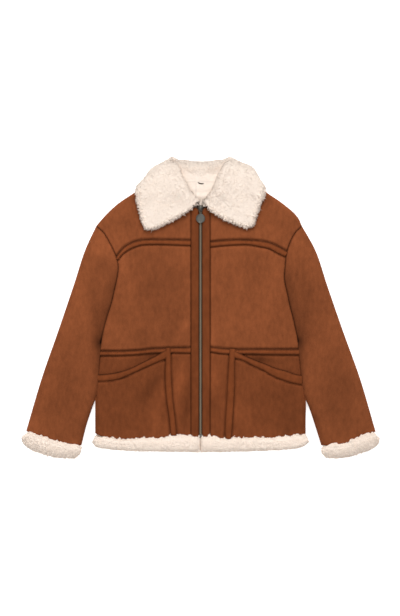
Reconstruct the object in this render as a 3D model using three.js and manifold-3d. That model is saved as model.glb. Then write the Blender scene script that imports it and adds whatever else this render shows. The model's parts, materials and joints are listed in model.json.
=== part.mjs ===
// A child's shearling coat, zipped up and laid flat on its back: suede outside, pile inside.
// Millimetres. X runs across the coat with the zip at 0, Y runs from the hem to the collar and
// Z is up from the surface that the coat lies on.
import * as THREE from 'three';
import { mergeVertices } from 'three/addons/utils/BufferGeometryUtils.js';
import Module from 'manifold-3d';

const wasm = await Module();
wasm.setup();

// ---------------------------------------------------------------- driving dimensions
const WALL = 6; // suede and pile together
const GAP = 0.3; // between neighbouring pieces
const STRIP = 1.8; // a strip of suede sewn over a seam
const WELT = 2.4; // the folded welt at a pocket's mouth
const FACING_DROP = 1.4; // how far a pocket's facing sits under the panels round it
const FULLNESS = 2.4; // air between front and back along the middle
const COLLAR_LIFT = 6.6; // how far the collar's fall holds the back panel up
const SIDE_SEAM_X = 183; // half the width of the body at the side seams
const SIDE_ROUND = 11; // how far in from a side seam the cloth starts to turn over
const SIDE_DROP = 3.6; // how far it has turned down, or up, at the seam
const PLACKET_OUTER = 17;
const PLACKET_INNER = 3.3;
const ZIP_WIDTH = 6;
const ZIP_TOP_Y = 175;
const ZIP_FOOT_Y = -221;
const PLACKET_TOP_Y = 176;
const TRIM_HEIGHT = 9.5; // pile rolled out over the hem, above the wall's underside
const CELL = 34; // size of the facets of the flat panels
const FAR = 420; // past every edge of the coat

const SUEDE = new THREE.MeshStandardMaterial({ color: 0x84492c, roughness: 0.9, metalness: 0 });
const SUEDE_LOWER = new THREE.MeshStandardMaterial({ color: 0x723f24, roughness: 0.9, metalness: 0 });
const SUEDE_STRIP = new THREE.MeshStandardMaterial({ color: 0x784123, roughness: 0.9, metalness: 0 });
const PILE = new THREE.MeshStandardMaterial({ color: 0xf3e3d6, roughness: 1, metalness: 0 });
const GUNMETAL = new THREE.MeshStandardMaterial({ color: 0x59564f, roughness: 0.4, metalness: 0.9 });
const TAPE = new THREE.MeshStandardMaterial({ color: 0x3a2a20, roughness: 0.9, metalness: 0 });

// ---------------------------------------------------------------- tables
/** Rows of numbers with named columns, as a list of objects. */
const table = (columns, rows) => {
  const names = columns.split(' ');
  return rows.map((row) => Object.fromEntries(names.map((name, i) => [name, row[i]])));
};

// Half of the neck and shoulder edge, from the zip to the top of the armhole; the other mirrors it.
const NECK_EDGE = table('x y', [[0, 176], [20, 177], [34, 183], [48, 197], [58, 216], [65, 240]]);
const SHOULDER_EDGE = table('x y', [[65, 240], [113, 204], [146, 182], [172, 157]]);

// The armhole seam, from shoulder to underarm, and the side seam below it, down past the hem.
const ARMHOLE = {
  left: table('x y', [
    [-183, 144], [-171, 133], [-158, 112], [-149, 93], [-144, 72], [-146, 54],
    [-151, 31], [-156, 9], [-164, -16], [-171, -42], [-175, -61],
  ]),
  right: table('x y', [
    [178, 144], [167, 133], [157, 115], [151, 96], [148, 72], [147, 49],
    [152, 26], [157, 2], [163, -21], [168, -44], [171, -58],
  ]),
};
const SIDE = {
  left: table('x y', [[-178, -76], [-179, -112], [-183, -124], [-183, -262]]),
  right: table('x y', [[173, -76], [176, -108], [181, -140], [183, -156], [183, -262]]),
};

// Seams across the panels, from the placket outwards, with the width of the strip sewn over each.
const YOKE_SEAM = {
  left: table('x y width', [
    [-17, 116, 10], [-62, 117, 8], [-88, 117, 8], [-106, 114.5, 9],
    [-120, 110, 10], [-132, 102.5, 9], [-141, 93.5, 7], [-150, 80, 6],
  ]),
  right: table('x y width', [
    [17, 113, 10], [34, 115, 10], [60, 116.5, 9], [87, 116, 8],
    [104, 113.5, 11], [122, 108.5, 11], [139, 100, 12], [158, 90, 9],
  ]),
};
const WAIST_SEAM = {
  left: table('x y width', [
    [-17, -71.5, 11], [-62, -71.5, 9], [-88, -73.5, 9], [-106, -76, 8], [-132, -77.5, 7], [-190, -78, 8],
  ]),
  right: table('x y width', [
    [17, -70.5, 9], [34, -73, 10], [60, -74.5, 9], [87, -74.5, 9], [130, -75, 10], [190, -75, 10],
  ]),
};
// The seam down from the waist between the pocket and the middle, from the waist to the hem.
const POCKET_SEAM = {
  left: table('x y width', [
    [-60, -60, 8], [-58, -100, 8], [-57, -135, 10], [-54.5, -170, 11], [-50.5, -196, 9], [-45.5, -240, 11],
  ]),
  right: table('x y width', [
    [57, -60, 12], [54.5, -100, 11], [53.5, -135, 13], [51.5, -170, 13], [49.5, -205, 13], [48, -240, 10],
  ]),
};
// The pocket's mouth, from the seam above to the side seam, with the width of its welt below it.
const POCKET_MOUTH = {
  left: table('x y width', [
    [-56, -71, 16], [-74, -82, 12], [-88, -89, 11], [-106, -98, 10],
    [-123, -106, 10], [-146, -113, 12], [-167, -116, 12], [-190, -117, 11],
  ]),
  right: table('x y width', [
    [54, -72, 14], [78, -84, 9], [95, -91, 11], [113, -98, 12],
    [130, -105, 15], [148, -110, 17], [165, -116, 16], [190, -118, 18],
  ]),
};
// Where the suede ends and the rolled-out pile begins, and the pile's lower edge, left to right.
const HEM_LINE = table('x y', [
  [-190, -216], [-180, -221], [-162, -227], [-88, -228], [-20, -225], [0, -228],
  [18, -226], [69, -229], [148, -227], [180, -223], [190, -219],
]);
const HEM_FOOT = table('x y', [
  [-189, -231], [-185, -242], [-167, -246], [-123, -250], [-62, -251], [0, -252],
  [87, -250], [139, -248], [167, -245], [180, -241], [188, -231],
]);

// Sleeve edges from armhole to cuff. The inner one starts at the underarm and passes the side.
const SLEEVE_OUTER = {
  left: table('x y', [[-183, 144], [-200, 108], [-222, 42], [-249, -38], [-277, -121], [-304, -215]]),
  right: table('x y', [[178, 144], [200, 105], [223, 38], [250, -40], [278, -122], [304, -216]]),
};
const SLEEVE_INNER = {
  left: table('x y', [[-175, -61], [-177, -100], [-181, -150], [-190, -175], [-200, -205], [-209, -241]]),
  right: table('x y', [[171, -58], [174, -100], [181, -152], [191, -176], [201, -206], [212, -241]]),
};
const CUFF_LINE = {
  left: table('x y', [[-304, -215], [-289, -222], [-264, -231], [-249, -236], [-229, -240], [-209, -241]]),
  right: table('x y', [[304, -216], [288, -222], [265, -233], [252, -239], [232, -241], [212, -241]]),
};
const CUFF_FOOT = {
  left: table('x y', [[-314, -228], [-306, -241], [-280, -254], [-256, -262], [-228, -263.3], [-209, -250]]),
  right: table('x y', [[314, -228], [305, -241], [281, -254], [256, -262], [228, -263.3], [211, -252]]),
};

// One row for each section of the collar, from its front end by the zip round to the centre back.
// foot: the seam to the neck; roll: the fold line; edge: the free edge; bulge: a point between.
// stand and fall are heights of the two layers: 1 on the fronts, 0 at the shoulder, -1 underneath.
const COLLAR = table('footX footY rollX rollY bulgeX bulgeY edgeX edgeY stand fall', [
  [3.5, 176.6, 4, 184, 46, 161, 91, 138, 1, 1],
  [20, 178.5, 13, 194, 60, 172, 100, 150, 1, 1],
  [33, 185, 24, 210, 72, 190, 108, 170, 1, 1],
  [46.5, 198.5, 36, 232, 82, 210, 111, 190, 1, 1],
  [56, 217, 44, 250, 87, 231, 111, 204, 0.8, 0.9],
  [63, 243, 52, 260.5, 84, 246, 108, 216, 0.3, 0.1],
  [54, 236, 46, 260, 76, 238, 98, 208, -0.6, -1],
  [34, 228, 30, 260, 52, 234, 62, 212, -1, -1],
  [0, 223, 0, 258, 0, 234, 0, 212, -1, -1],
]);
const COLLAR_WALL = 5.4;

// The zip's slider and pull. The pull turns on an axis along X through the slider's bridge.
const SLIDER = { length: 10, width: 8, height: 2.2, y: 174.5 };
const BRIDGE = { length: 7, width: 3.2, height: 3.6, tunnelRadius: 1.35 };
const PULL = { bar: 0.85, arm: 1.4, armSpread: 5.2, reach: 11, discRadius: 8, thickness: 1.6, rim: 1.1 };
const PULL_TILT = 0.12; // radians that the pull slopes down to rest on the cloth

// ---------------------------------------------------------------- heights of the layers
const ease = (t) => {
  const c = Math.min(1, Math.max(0, t));
  return c * c * (3 - 2 * c);
};
const roundOver = (t) => 1 - Math.sqrt(1 - (1 - Math.min(1, Math.max(0, t))) ** 2);
/** How far the collar's fall, lying underneath, holds the back panel up. */
const lift = (x, y) => COLLAR_LIFT * ease((y - 182) / 27) * ease((148 - Math.abs(x)) / 30);
/** How far the cloth has turned over towards a side seam, below the armhole. */
const turned = (x, y) => SIDE_DROP * roundOver((SIDE_SEAM_X - Math.abs(x)) / SIDE_ROUND) * ease((-60 - y) / 40);
const fullness = (x, y) => FULLNESS * (1 - (x / 190) ** 2) * (0.8 + 0.2 * Math.cos(y / 70));
const backLow = (x, y) => lift(x, y) + 0.8 * turned(x, y);
const backTop = (x, y) => lift(x, y) + WALL;
const frontLow = (x, y) => backTop(x, y) + GAP + fullness(x, y);
const frontTop = (x, y) => frontLow(x, y) + WALL - turned(x, y);

// ---------------------------------------------------------------- solids
/** A closed geometry as a solid that can be cut and joined. */
function solidFrom(geometry) {
  const bare = geometry.clone();
  bare.deleteAttribute('normal');
  bare.deleteAttribute('uv');
  const merged = mergeVertices(bare, 1e-4);
  return new wasm.Manifold(new wasm.Mesh({
    numProp: 3,
    vertProperties: merged.attributes.position.array,
    triVerts: new Uint32Array(merged.index.array),
  }));
}

/** A solid's surface as a three.js geometry. */
function geometryFrom(solid) {
  const mesh = solid.getMesh();
  const geometry = new THREE.BufferGeometry();
  geometry.setAttribute('position', new THREE.BufferAttribute(mesh.vertProperties, 3));
  geometry.setIndex(new THREE.BufferAttribute(mesh.triVerts, 1));
  const shown = geometry.toNonIndexed();
  shown.computeVertexNormals();
  return shown;
}

/** A geometry from points and triangles, each triangle three indices. */
function geometryOf(points, triangles) {
  const geometry = new THREE.BufferGeometry();
  geometry.setAttribute('position', new THREE.Float32BufferAttribute(points.flat(), 3));
  geometry.setIndex(triangles.flat());
  return geometry;
}

/** Two triangles for the quad a, b, c, d, counter-clockwise from outside. */
const quad = (a, b, c, d) => [[a, b, c], [a, c, d]];

/** Evenly spaced values from low to high, about `step` apart. */
function spaced(low, high, step) {
  const count = Math.round((high - low) / step);
  return Array.from({ length: count + 1 }, (_, i) => low + ((high - low) * i) / count);
}

/** A sheet of cloth on a lattice of xs by ys, between two heights, as a closed solid. */
function layer(xs, ys, lowAt, topAt) {
  const points = [lowAt, topAt].flatMap((at) => ys.flatMap((y) => xs.map((x) => [x, y, at(x, y)])));
  const columns = xs.length;
  const upper = columns * ys.length;
  const at = (i, j) => j * columns + i;
  const triangles = [];
  for (let j = 0; j + 1 < ys.length; j += 1) {
    for (let i = 0; i + 1 < columns; i += 1) {
      const [a, b, c, d] = [at(i, j), at(i + 1, j), at(i + 1, j + 1), at(i, j + 1)];
      triangles.push(...quad(a + upper, b + upper, c + upper, d + upper), [a, c, b], [a, d, c]);
    }
  }
  const rim = [
    ...xs.slice(0, -1).map((_, i) => at(i, 0)),
    ...ys.slice(0, -1).map((_, j) => at(columns - 1, j)),
    ...xs.slice(0, -1).map((_, i) => at(columns - 1 - i, ys.length - 1)),
    ...ys.slice(0, -1).map((_, j) => at(0, ys.length - 1 - j)),
  ];
  rim.forEach((a, i) => {
    const b = rim[(i + 1) % rim.length];
    triangles.push(...quad(a, b, b + upper, a + upper));
  });
  return solidFrom(geometryOf(points, triangles));
}

/** An upright column over a closed outline in plan, given counter-clockwise or clockwise. */
function column(outline, low = -5, high = 60) {
  const shape = new THREE.Shape(outline.map(([x, y]) => new THREE.Vector2(x, y)));
  const geometry = new THREE.ExtrudeGeometry(shape, { depth: high - low, bevelEnabled: false, steps: 1 });
  return solidFrom(geometry.translate(0, 0, low));
}

/** A table's points as a smooth line of x, y pairs, with `each` steps for each row. */
function smooth(rows, each = 2) {
  const curve = new THREE.SplineCurve(rows.map((row) => new THREE.Vector2(row.x, row.y)));
  return curve.getPoints((rows.length - 1) * each).map((p) => [p.x, p.y]);
}

/** The column on one side of a seam: up, down, left or right of it, clear of it by half a gap. */
function beside(line, towards, gap = GAP) {
  const across = towards === 'up' || towards === 'down';
  const sign = towards === 'up' || towards === 'right' ? 1 : -1;
  const [along, off] = across ? [0, 1] : [1, 0];
  const ordered = [...line].sort((p, q) => p[along] - q[along]).map((p) => {
    const moved = [...p];
    moved[off] += (sign * gap) / 2;
    return moved;
  });
  const ends = [ordered[0], ordered[ordered.length - 1]];
  const corner = (where, value) => (across ? [where, value] : [value, where]);
  return column([
    corner(-FAR, ends[0][off]),
    ...ordered,
    corner(FAR, ends[1][off]),
    corner(FAR, sign * FAR),
    corner(-FAR, sign * FAR),
  ]);
}

/** The column over a strip along a seam, from its middle line and width. */
function along(rows, extra = 0) {
  const fine = smooth(rows, 2);
  const widths = fine.map((_, i) => {
    const t = (i * (rows.length - 1)) / (fine.length - 1);
    const row = Math.min(rows.length - 2, Math.floor(t));
    return THREE.MathUtils.lerp(rows[row].width, rows[row + 1].width, t - row) / 2 + extra;
  });
  const side = (sign) => fine.map(([x, y], i) => {
    const [a, b] = [fine[Math.max(0, i - 1)], fine[Math.min(fine.length - 1, i + 1)]];
    const length = Math.hypot(b[0] - a[0], b[1] - a[1]);
    const reach = (sign * widths[i]) / length;
    return [x - (b[1] - a[1]) * reach, y + (b[0] - a[0]) * reach];
  });
  return column([...side(1), ...side(-1).reverse()]);
}

const meet = (first, ...others) => others.reduce((solid, other) => solid.intersect(other), first);
const without = (first, ...others) => others.reduce((solid, other) => solid.subtract(other), first);

const coat = new THREE.Group();
/** Adds one named sub-part. */
function add(name, geometry, material) {
  const mesh = new THREE.Mesh(geometry, material);
  mesh.name = name;
  coat.add(mesh);
  return mesh;
}
const addSolid = (name, solid, material) => add(name, geometryFrom(solid), material);

// ---------------------------------------------------------------- body panels
const SIDES = ['left', 'right'];
const signOf = { left: -1, right: 1 };
const mirrored = (rows, side) => rows.map((row) => ({ ...row, x: row.x * signOf[side] }));

/** The edge of half the body in plan, from the zip over the shoulder and down to below the hem. */
function halfOutline(side, neckRows) {
  return [
    ...smooth(mirrored(neckRows, side)),
    ...smooth(mirrored(SHOULDER_EDGE, side)).slice(1),
    ...smooth(ARMHOLE[side]).slice(1),
    ...SIDE[side].map(({ x, y }) => [x, y]),
  ];
}
const BACK_NECK = table('x y', [[0, 222], [34, 226], [54, 233], [65, 240]]);
const bodyOutline = (neckRows) => [
  ...halfOutline('left', neckRows),
  ...halfOutline('right', neckRows).reverse(),
];
/** A closed outline moved outwards by a distance, or inwards where it is negative. */
function offset(outline, by) {
  const distinct = outline.filter(([x, y], i) => {
    const [nextX, nextY] = outline[(i + 1) % outline.length];
    return Math.hypot(nextX - x, nextY - y) > 0.01;
  });
  const clockwise = THREE.ShapeUtils.isClockWise(distinct.map(([x, y]) => ({ x, y })));
  const reach = clockwise ? -by : by;
  return distinct.map(([x, y], i) => {
    const before = distinct[(i + distinct.length - 1) % distinct.length];
    const after = distinct[(i + 1) % distinct.length];
    const arriving = new THREE.Vector2(y - before[1], before[0] - x).normalize();
    const leaving = new THREE.Vector2(after[1] - y, x - after[0]).normalize();
    const middle = arriving.clone().add(leaving).normalize();
    const length = reach / Math.max(0.5, middle.dot(arriving));
    return [x + middle.x * length, y + middle.y * length];
  });
}

const panelXs = [-186, ...[-1, 1].flatMap((s) => [
  ...spaced(0, 160, CELL).map((x) => s * x), s * 172, s * 178,
]), 186];
const xsAcross = [...new Set(panelXs)].sort((a, b) => a - b);
const ysUp = [...spaced(-234, 172, CELL), 184, 195, 206, 222, 246];

const frontColumn = column(offset(bodyOutline(NECK_EDGE), -GAP / 2));
const backColumn = column(offset(bodyOutline(BACK_NECK), -GAP / 2));
const hemLine = smooth(HEM_LINE);
const aboveHem = beside(hemLine, 'up');
const frontLayer = meet(layer(xsAcross, ysUp, frontLow, frontTop), frontColumn, aboveHem);
const facingLayer = meet(
  layer(xsAcross, ysUp, frontLow, (x, y) => frontTop(x, y) - FACING_DROP), frontColumn, aboveHem,
);
/** A layer sewn on the fronts, of the given thickness. */
const applied = (thickness) => meet(
  layer(
    xsAcross, ysUp, (x, y) => frontTop(x, y) + GAP, (x, y) => frontTop(x, y) + GAP + thickness,
  ),
  frontColumn,
  aboveHem,
);
const stripLayer = applied(STRIP);
const weltLayer = applied(WELT);

/** The welt's middle line, half its width below the pocket's mouth. */
const weltRows = (side) => POCKET_MOUTH[side].map((row) => ({ ...row, y: row.y - row.width / 2 }));

function frontPanels(side) {
  const outwards = side;
  const inwards = side === 'left' ? 'right' : 'left';
  const sign = signOf[side];
  const upright = (x) => [[sign * x, -FAR + 1], [sign * x, FAR - 1]];
  const outOfPlacket = beside(upright(PLACKET_OUTER), outwards);
  const half = meet(frontLayer, outOfPlacket);
  const yokeLine = smooth(YOKE_SEAM[side]);
  const waistLine = smooth(WAIST_SEAM[side]);
  const pocketLine = smooth(POCKET_SEAM[side]);
  const mouthLine = smooth(POCKET_MOUTH[side]);
  const [belowYoke, belowWaist] = [beside(yokeLine, 'down'), beside(waistLine, 'down')];
  const outOfPocket = beside(pocketLine, outwards);

  addSolid(`front_yoke_${side}`, meet(half, beside(yokeLine, 'up')), SUEDE);
  addSolid(`front_chest_${side}`, meet(half, belowYoke, beside(waistLine, 'up')), SUEDE);
  addSolid(`front_lower_${side}`, meet(half, belowWaist, beside(pocketLine, inwards)), SUEDE_LOWER);
  addSolid(
    `pocket_panel_${side}`,
    meet(half, outOfPocket, belowWaist, beside(mouthLine, 'down')),
    SUEDE_LOWER,
  );
  addSolid(
    `pocket_facing_${side}`,
    meet(facingLayer, belowWaist, outOfPocket, beside(mouthLine, 'up')),
    SUEDE_LOWER,
  );
  addSolid(
    `placket_${side}`,
    meet(
      frontLayer,
      beside(upright(PLACKET_OUTER), inwards),
      beside(upright(PLACKET_INNER), outwards, 0),
      beside([[-FAR + 1, PLACKET_TOP_Y], [FAR - 1, PLACKET_TOP_Y]], 'down'),
    ),
    SUEDE_STRIP,
  );

  const waistBand = along(WAIST_SEAM[side]);
  const pocketBand = along(POCKET_SEAM[side]);
  addSolid(`yoke_strip_${side}`, meet(stripLayer, outOfPlacket, along(YOKE_SEAM[side])), SUEDE_STRIP);
  addSolid(`waist_strip_${side}`, meet(stripLayer, outOfPlacket, waistBand), SUEDE_STRIP);
  addSolid(
    `pocket_strip_${side}`,
    without(meet(stripLayer, pocketBand, belowWaist), along(WAIST_SEAM[side], GAP)),
    SUEDE_STRIP,
  );
  addSolid(
    `pocket_welt_${side}`,
    without(
      meet(weltLayer, along(weltRows(side)), outOfPocket, beside(mouthLine, 'down')),
      along(POCKET_SEAM[side], GAP),
      along(WAIST_SEAM[side], GAP),
    ),
    SUEDE_STRIP,
  );
}
SIDES.forEach(frontPanels);
addSolid('back', meet(layer(xsAcross, ysUp, backLow, backTop), backColumn, aboveHem), SUEDE);

// ---------------------------------------------------------------- pile rolled out at the hem
/** How far down the rolled pile a point is, from 0 at the hem line to 1 at its foot. */
const downTrim = (y) => Math.min(1, Math.max(0, (-228 - y) / 24));
const trimLow = (x, y) => WALL + GAP + 0.2 + 2.5 * downTrim(y) ** 3;
const trimTop = (x, y) => trimLow(x, y) + 2.5 + TRIM_HEIGHT * Math.sqrt(1 - (1.6 * downTrim(y) - 0.7) ** 2);
const trimYs = [-260, -251, -247, -241, -235, -229, -222, -212];
const trimXs = spaced(-192, 192, 32);
const hemOutline = [...smooth(HEM_LINE).reverse(), ...smooth(HEM_FOOT)];
const hemColumn = meet(column(hemOutline), beside(hemLine, 'down'));
const hemLayer = meet(layer(trimXs, trimYs, trimLow, trimTop), hemColumn);
const slitEdge = [[0, -FAR + 1], [0, FAR - 1]];
SIDES.forEach((side) => {
  addSolid(`hem_trim_front_${side}`, meet(hemLayer, beside(slitEdge, side, 1)), PILE);
});
const backTrimLow = (x, y) => 2.6 * downTrim(y) ** 3;
addSolid('hem_trim_back', meet(layer(trimXs, trimYs, backTrimLow, () => WALL), hemColumn), PILE);

// ---------------------------------------------------------------- sleeves and their cuffs
/** A patch between four edges in plan: P(u, v), u across from outer to inner, v from start to end. */
function patch(start, end, outer, inner) {
  const curve = (rows) => new THREE.SplineCurve(rows.map((row) => new THREE.Vector2(row.x, row.y)));
  const [s, e, o, i] = [start, end, outer, inner].map(curve);
  return (u, v) => {
    const across = s.getPointAt(u).multiplyScalar(1 - v).add(e.getPointAt(u).multiplyScalar(v));
    const down = o.getPointAt(v).multiplyScalar(1 - u).add(i.getPointAt(v).multiplyScalar(u));
    const corners = s.getPointAt(0).multiplyScalar((1 - u) * (1 - v))
      .add(s.getPointAt(1).multiplyScalar(u * (1 - v)))
      .add(e.getPointAt(0).multiplyScalar((1 - u) * v))
      .add(e.getPointAt(1).multiplyScalar(u * v));
    const point = across.add(down).sub(corners);
    return [point.x, point.y];
  };
}

/**
 * A tube of cloth pressed flat. Each ring runs round the wall's outside, and a second one round
 * the closed slit inside it. floor and top give the tube's heights at v, crown what its middle adds.
 */
function flatTube(at, rings, { floor, top, crown, wall, steps = 5 }) {
  const edge = table('turn inset level', [[0, 0, 0], [1, 0.29, 0.71], [2, 1, 1]]);
  const middle = Array.from({ length: steps - 1 }, (_, i) => (i + 1) / steps);
  const upperHalf = [
    ...edge.map((row) => ({ ...row, end: 0 })),
    ...middle.map((u) => ({ u, level: 1 })),
    ...[...edge].reverse().map((row) => ({ ...row, end: 1 })),
  ];
  const lowerHalf = [...upperHalf].reverse().slice(1, -1).map((spot) => ({ ...spot, level: -spot.level }));
  const spots = [...upperHalf, ...lowerHalf];
  const points = [];
  rings.forEach((v) => {
    const [low, high] = [floor(v), top(v)];
    const half = (high - low) / 2;
    const [a, b] = [at(0, v), at(1, v)];
    const width = Math.hypot(a[0] - b[0], a[1] - b[1]);
    [0, 1].forEach((inside) => {
      spots.forEach((spot) => {
        const inset = (spot.inset ?? 1) * half * (inside ? 0.35 : 1) + (inside ? wall + GAP : 0);
        const u = spot.u ?? (spot.end ? 1 - inset / width : inset / width);
        const swell = crown * Math.sin(Math.PI * u) * (spot.level > 0 ? 1 : 0);
        const middleZ = low + wall + GAP;
        const outerZ = (spot.level > 0 ? low + half : low + half) + spot.level * half + swell;
        const slit = spot.level > 0 ? Math.max(0, high - low - 2 * wall - GAP) + swell : -GAP;
        const z = inside ? middleZ + Math.abs(spot.level) * slit : outerZ;
        points.push([...at(u, v), z]);
      });
    });
  });
  const n = spots.length;
  const index = (ring, inside, k) => (ring * 2 + inside) * n + (k % n);
  const triangles = [];
  for (let k = 0; k < n; k += 1) {
    for (let r = 0; r + 1 < rings.length; r += 1) {
      triangles.push(
        ...quad(index(r, 0, k), index(r + 1, 0, k), index(r + 1, 0, k + 1), index(r, 0, k + 1)),
        ...quad(index(r, 1, k + 1), index(r + 1, 1, k + 1), index(r + 1, 1, k), index(r, 1, k)),
      );
    }
    const last = rings.length - 1;
    triangles.push(
      ...quad(index(0, 0, k), index(0, 0, k + 1), index(0, 1, k + 1), index(0, 1, k)),
      ...quad(index(last, 0, k + 1), index(last, 0, k), index(last, 1, k), index(last, 1, k + 1)),
    );
  }
  const solid = solidFrom(geometryOf(points, triangles));
  return solid.volume() > 0 ? solid : solidFrom(geometryOf(points, triangles.map(([a, b, c]) => [a, c, b])));
}

const OVERRUN = 3; // how far a sleeve or cuff runs past its seams before it is cut there
const bodyKeepOut = column(offset(bodyOutline(NECK_EDGE), GAP / 2));
const SLEEVE_TOP = 2 * WALL + 0.9;
SIDES.forEach((side) => {
  const sleeve = patch(ARMHOLE[side], CUFF_LINE[side], SLEEVE_OUTER[side], SLEEVE_INNER[side]);
  const overrun = (u, v) => {
    const [x, y] = sleeve(u, v);
    return [
      x - signOf[side] * OVERRUN * Math.max(0, 1 - v * 8),
      y - OVERRUN * Math.max(0, v * 8 - 7),
    ];
  };
  const tube = flatTube(overrun, spaced(0, 1, 1 / 7), {
    floor: () => 0, top: () => SLEEVE_TOP, crown: 2, wall: WALL, steps: 4,
  });
  const cuffLine = smooth(CUFF_LINE[side]);
  addSolid(`sleeve_${side}`, meet(without(tube, bodyKeepOut), beside(cuffLine, 'up')), SUEDE);

  const ends = (u) => [CUFF_LINE[side].at(u ? -1 : 0), CUFF_FOOT[side].at(u ? -1 : 0)];
  const cuff = patch(CUFF_LINE[side], CUFF_FOOT[side], ends(0), ends(1));
  const fromSleeve = (u, v) => {
    const [x, y] = cuff(u, v);
    return [x, y + OVERRUN * (1 - v)];
  };
  const bulge = (v) => Math.sqrt(Math.max(0, 1 - (1.5 * v - 0.55) ** 2));
  const rolled = flatTube(fromSleeve, [0, 0.35, 0.75, 1], {
    floor: (v) => 3 * v ** 4, top: (v) => 8 + 9 * bulge(v), crown: 1, wall: 4, steps: 4,
  });
  addSolid(`cuff_trim_${side}`, meet(rolled, beside(cuffLine, 'down')), PILE);
});

// ---------------------------------------------------------------- collar
/** A point between the layer under the back and the one on the fronts, by share from -1 to 1. */
function between(share, x, y, ground) {
  const [low, high] = ground;
  return low + ((high - low) * (share + 1)) / 2;
}

/** The middle line of the collar's cloth at one section: foot, up to the roll, over it, to the edge. */
function collarSection(row, sign) {
  const vector = (x, y) => new THREE.Vector2(x * sign, y);
  const [foot, roll] = [vector(row.footX, row.footY), vector(row.rollX, row.rollY)];
  const [bulge, edge] = [vector(row.bulgeX, row.bulgeY), vector(row.edgeX, row.edgeY)];
  const half = COLLAR_WALL / 2;
  const standZ = (p) => between(row.stand, p.x, p.y, [
    COLLAR_LIFT + WALL / 2, frontTop(foot.x, foot.y) - WALL / 2,
  ]);
  const fallZ = (p) => between(row.fall, p.x, p.y, [half, frontTop(p.x, p.y) + 2 * GAP + half]);
  const short = (p, q, by) => p.clone().lerp(q, Math.min(0.45, by / p.distanceTo(q)));
  const rise = 5.5 * Math.min(1, foot.distanceTo(roll) / 30);
  const [standTop, fallTop] = [short(roll, foot, half + 1.5), short(roll, bulge, half + 1.5)];
  const turnZ = (standZ(roll) + rise * (row.stand < 0 ? 1 : 0.3) + fallZ(roll)) / 2;
  const onStand = foot.clone().lerp(roll, 0.5);
  return [
    [foot, standZ(foot)],
    [onStand, standZ(onStand) + rise * (row.stand < 0 ? 0.6 : 0)],
    [standTop, standZ(standTop) + rise * (row.stand < 0 ? 1 : 0)],
    [roll, turnZ],
    [fallTop, fallZ(fallTop) + (row.fall > 0 ? 0.8 : 0)],
    [fallTop.clone().lerp(bulge, 0.55), fallZ(fallTop.clone().lerp(bulge, 0.55)) + (row.fall > 0 ? 0.6 : 0)],
    [bulge, fallZ(bulge)],
    [bulge.clone().lerp(edge, 0.6), fallZ(bulge.clone().lerp(edge, 0.6))],
    [edge, fallZ(edge)],
  ].map(([p, z]) => new THREE.Vector3(p.x, p.y, z));
}

/** A wall of the given thickness about a grid of middle points, grid[i][j], as a closed geometry. */
function wallAbout(grid, thickness) {
  const [rows, columns] = [grid.length, grid[0].length];
  const normalAt = (i, j) => {
    const down = grid[Math.min(rows - 1, i + 1)][j].clone().sub(grid[Math.max(0, i - 1)][j]);
    const over = grid[i][Math.min(columns - 1, j + 1)].clone().sub(grid[i][Math.max(0, j - 1)]);
    return down.cross(over).normalize();
  };
  const points = [1, -1].flatMap((sign) => grid.flatMap((line, i) => line.map((p, j) => (
    p.clone().addScaledVector(normalAt(i, j), (sign * thickness) / 2).toArray()
  ))));
  const back = rows * columns;
  const at = (i, j) => i * columns + j;
  const triangles = [];
  for (let i = 0; i + 1 < rows; i += 1) {
    for (let j = 0; j + 1 < columns; j += 1) {
      const [a, b, c, d] = [at(i, j), at(i + 1, j), at(i + 1, j + 1), at(i, j + 1)];
      triangles.push(...quad(a, b, c, d), ...quad(d + back, c + back, b + back, a + back));
    }
    triangles.push(...quad(at(i + 1, 0), at(i, 0), at(i, 0) + back, at(i + 1, 0) + back));
    const end = columns - 1;
    triangles.push(...quad(at(i, end), at(i + 1, end), at(i + 1, end) + back, at(i, end) + back));
  }
  for (let j = 0; j + 1 < columns; j += 1) {
    triangles.push(...quad(at(0, j), at(0, j + 1), at(0, j + 1) + back, at(0, j) + back));
    const end = rows - 1;
    triangles.push(...quad(at(end, j + 1), at(end, j), at(end, j) + back, at(end, j + 1) + back));
  }
  return geometryOf(points, triangles);
}

const collarGrid = [
  ...COLLAR.map((row) => collarSection(row, -1)),
  ...COLLAR.slice(0, -1).reverse().map((row) => collarSection(row, 1)),
];
/** The space that a body layer and the gap round it take, which the collar stays out of. */
const keepOut = (neckRows, lowAt, topAt) => meet(
  layer(xsAcross, ysUp, (x, y) => lowAt(x, y) - GAP, (x, y) => topAt(x, y) + GAP),
  column(offset(bodyOutline(neckRows), GAP / 2)),
);
const collarSolid = without(
  solidFrom(wallAbout(collarGrid, COLLAR_WALL)),
  keepOut(BACK_NECK, backLow, backTop),
  keepOut(NECK_EDGE, frontLow, frontTop),
);
addSolid('collar', collarSolid, PILE);

// ---------------------------------------------------------------- zip
const zipXs = [-ZIP_WIDTH / 2 - 1, 0, ZIP_WIDTH / 2 + 1];
const zipHeight = (above) => (x, y) => frontTop(0, y) + above;
const zipOutline = [
  [-ZIP_WIDTH / 2, ZIP_FOOT_Y], [ZIP_WIDTH / 2, ZIP_FOOT_Y],
  [ZIP_WIDTH / 2, ZIP_TOP_Y], [-ZIP_WIDTH / 2, ZIP_TOP_Y],
];
addSolid('zip_chain', meet(layer(zipXs, ysUp, zipHeight(-2.6), zipHeight(0.4)), column(zipOutline)), GUNMETAL);

/** A box with its lowest corner and size given. */
const box = (x, y, z, width, depth, height) => new THREE.BoxGeometry(width, depth, height)
  .translate(x + width / 2, y + depth / 2, z + height / 2);

const footZ = frontTop(0, ZIP_FOOT_Y);
add('zip_end_box', box(-3.2, ZIP_FOOT_Y - 6.3, footZ - 2.6, 6.4, 6, 3.6), GUNMETAL);

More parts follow.
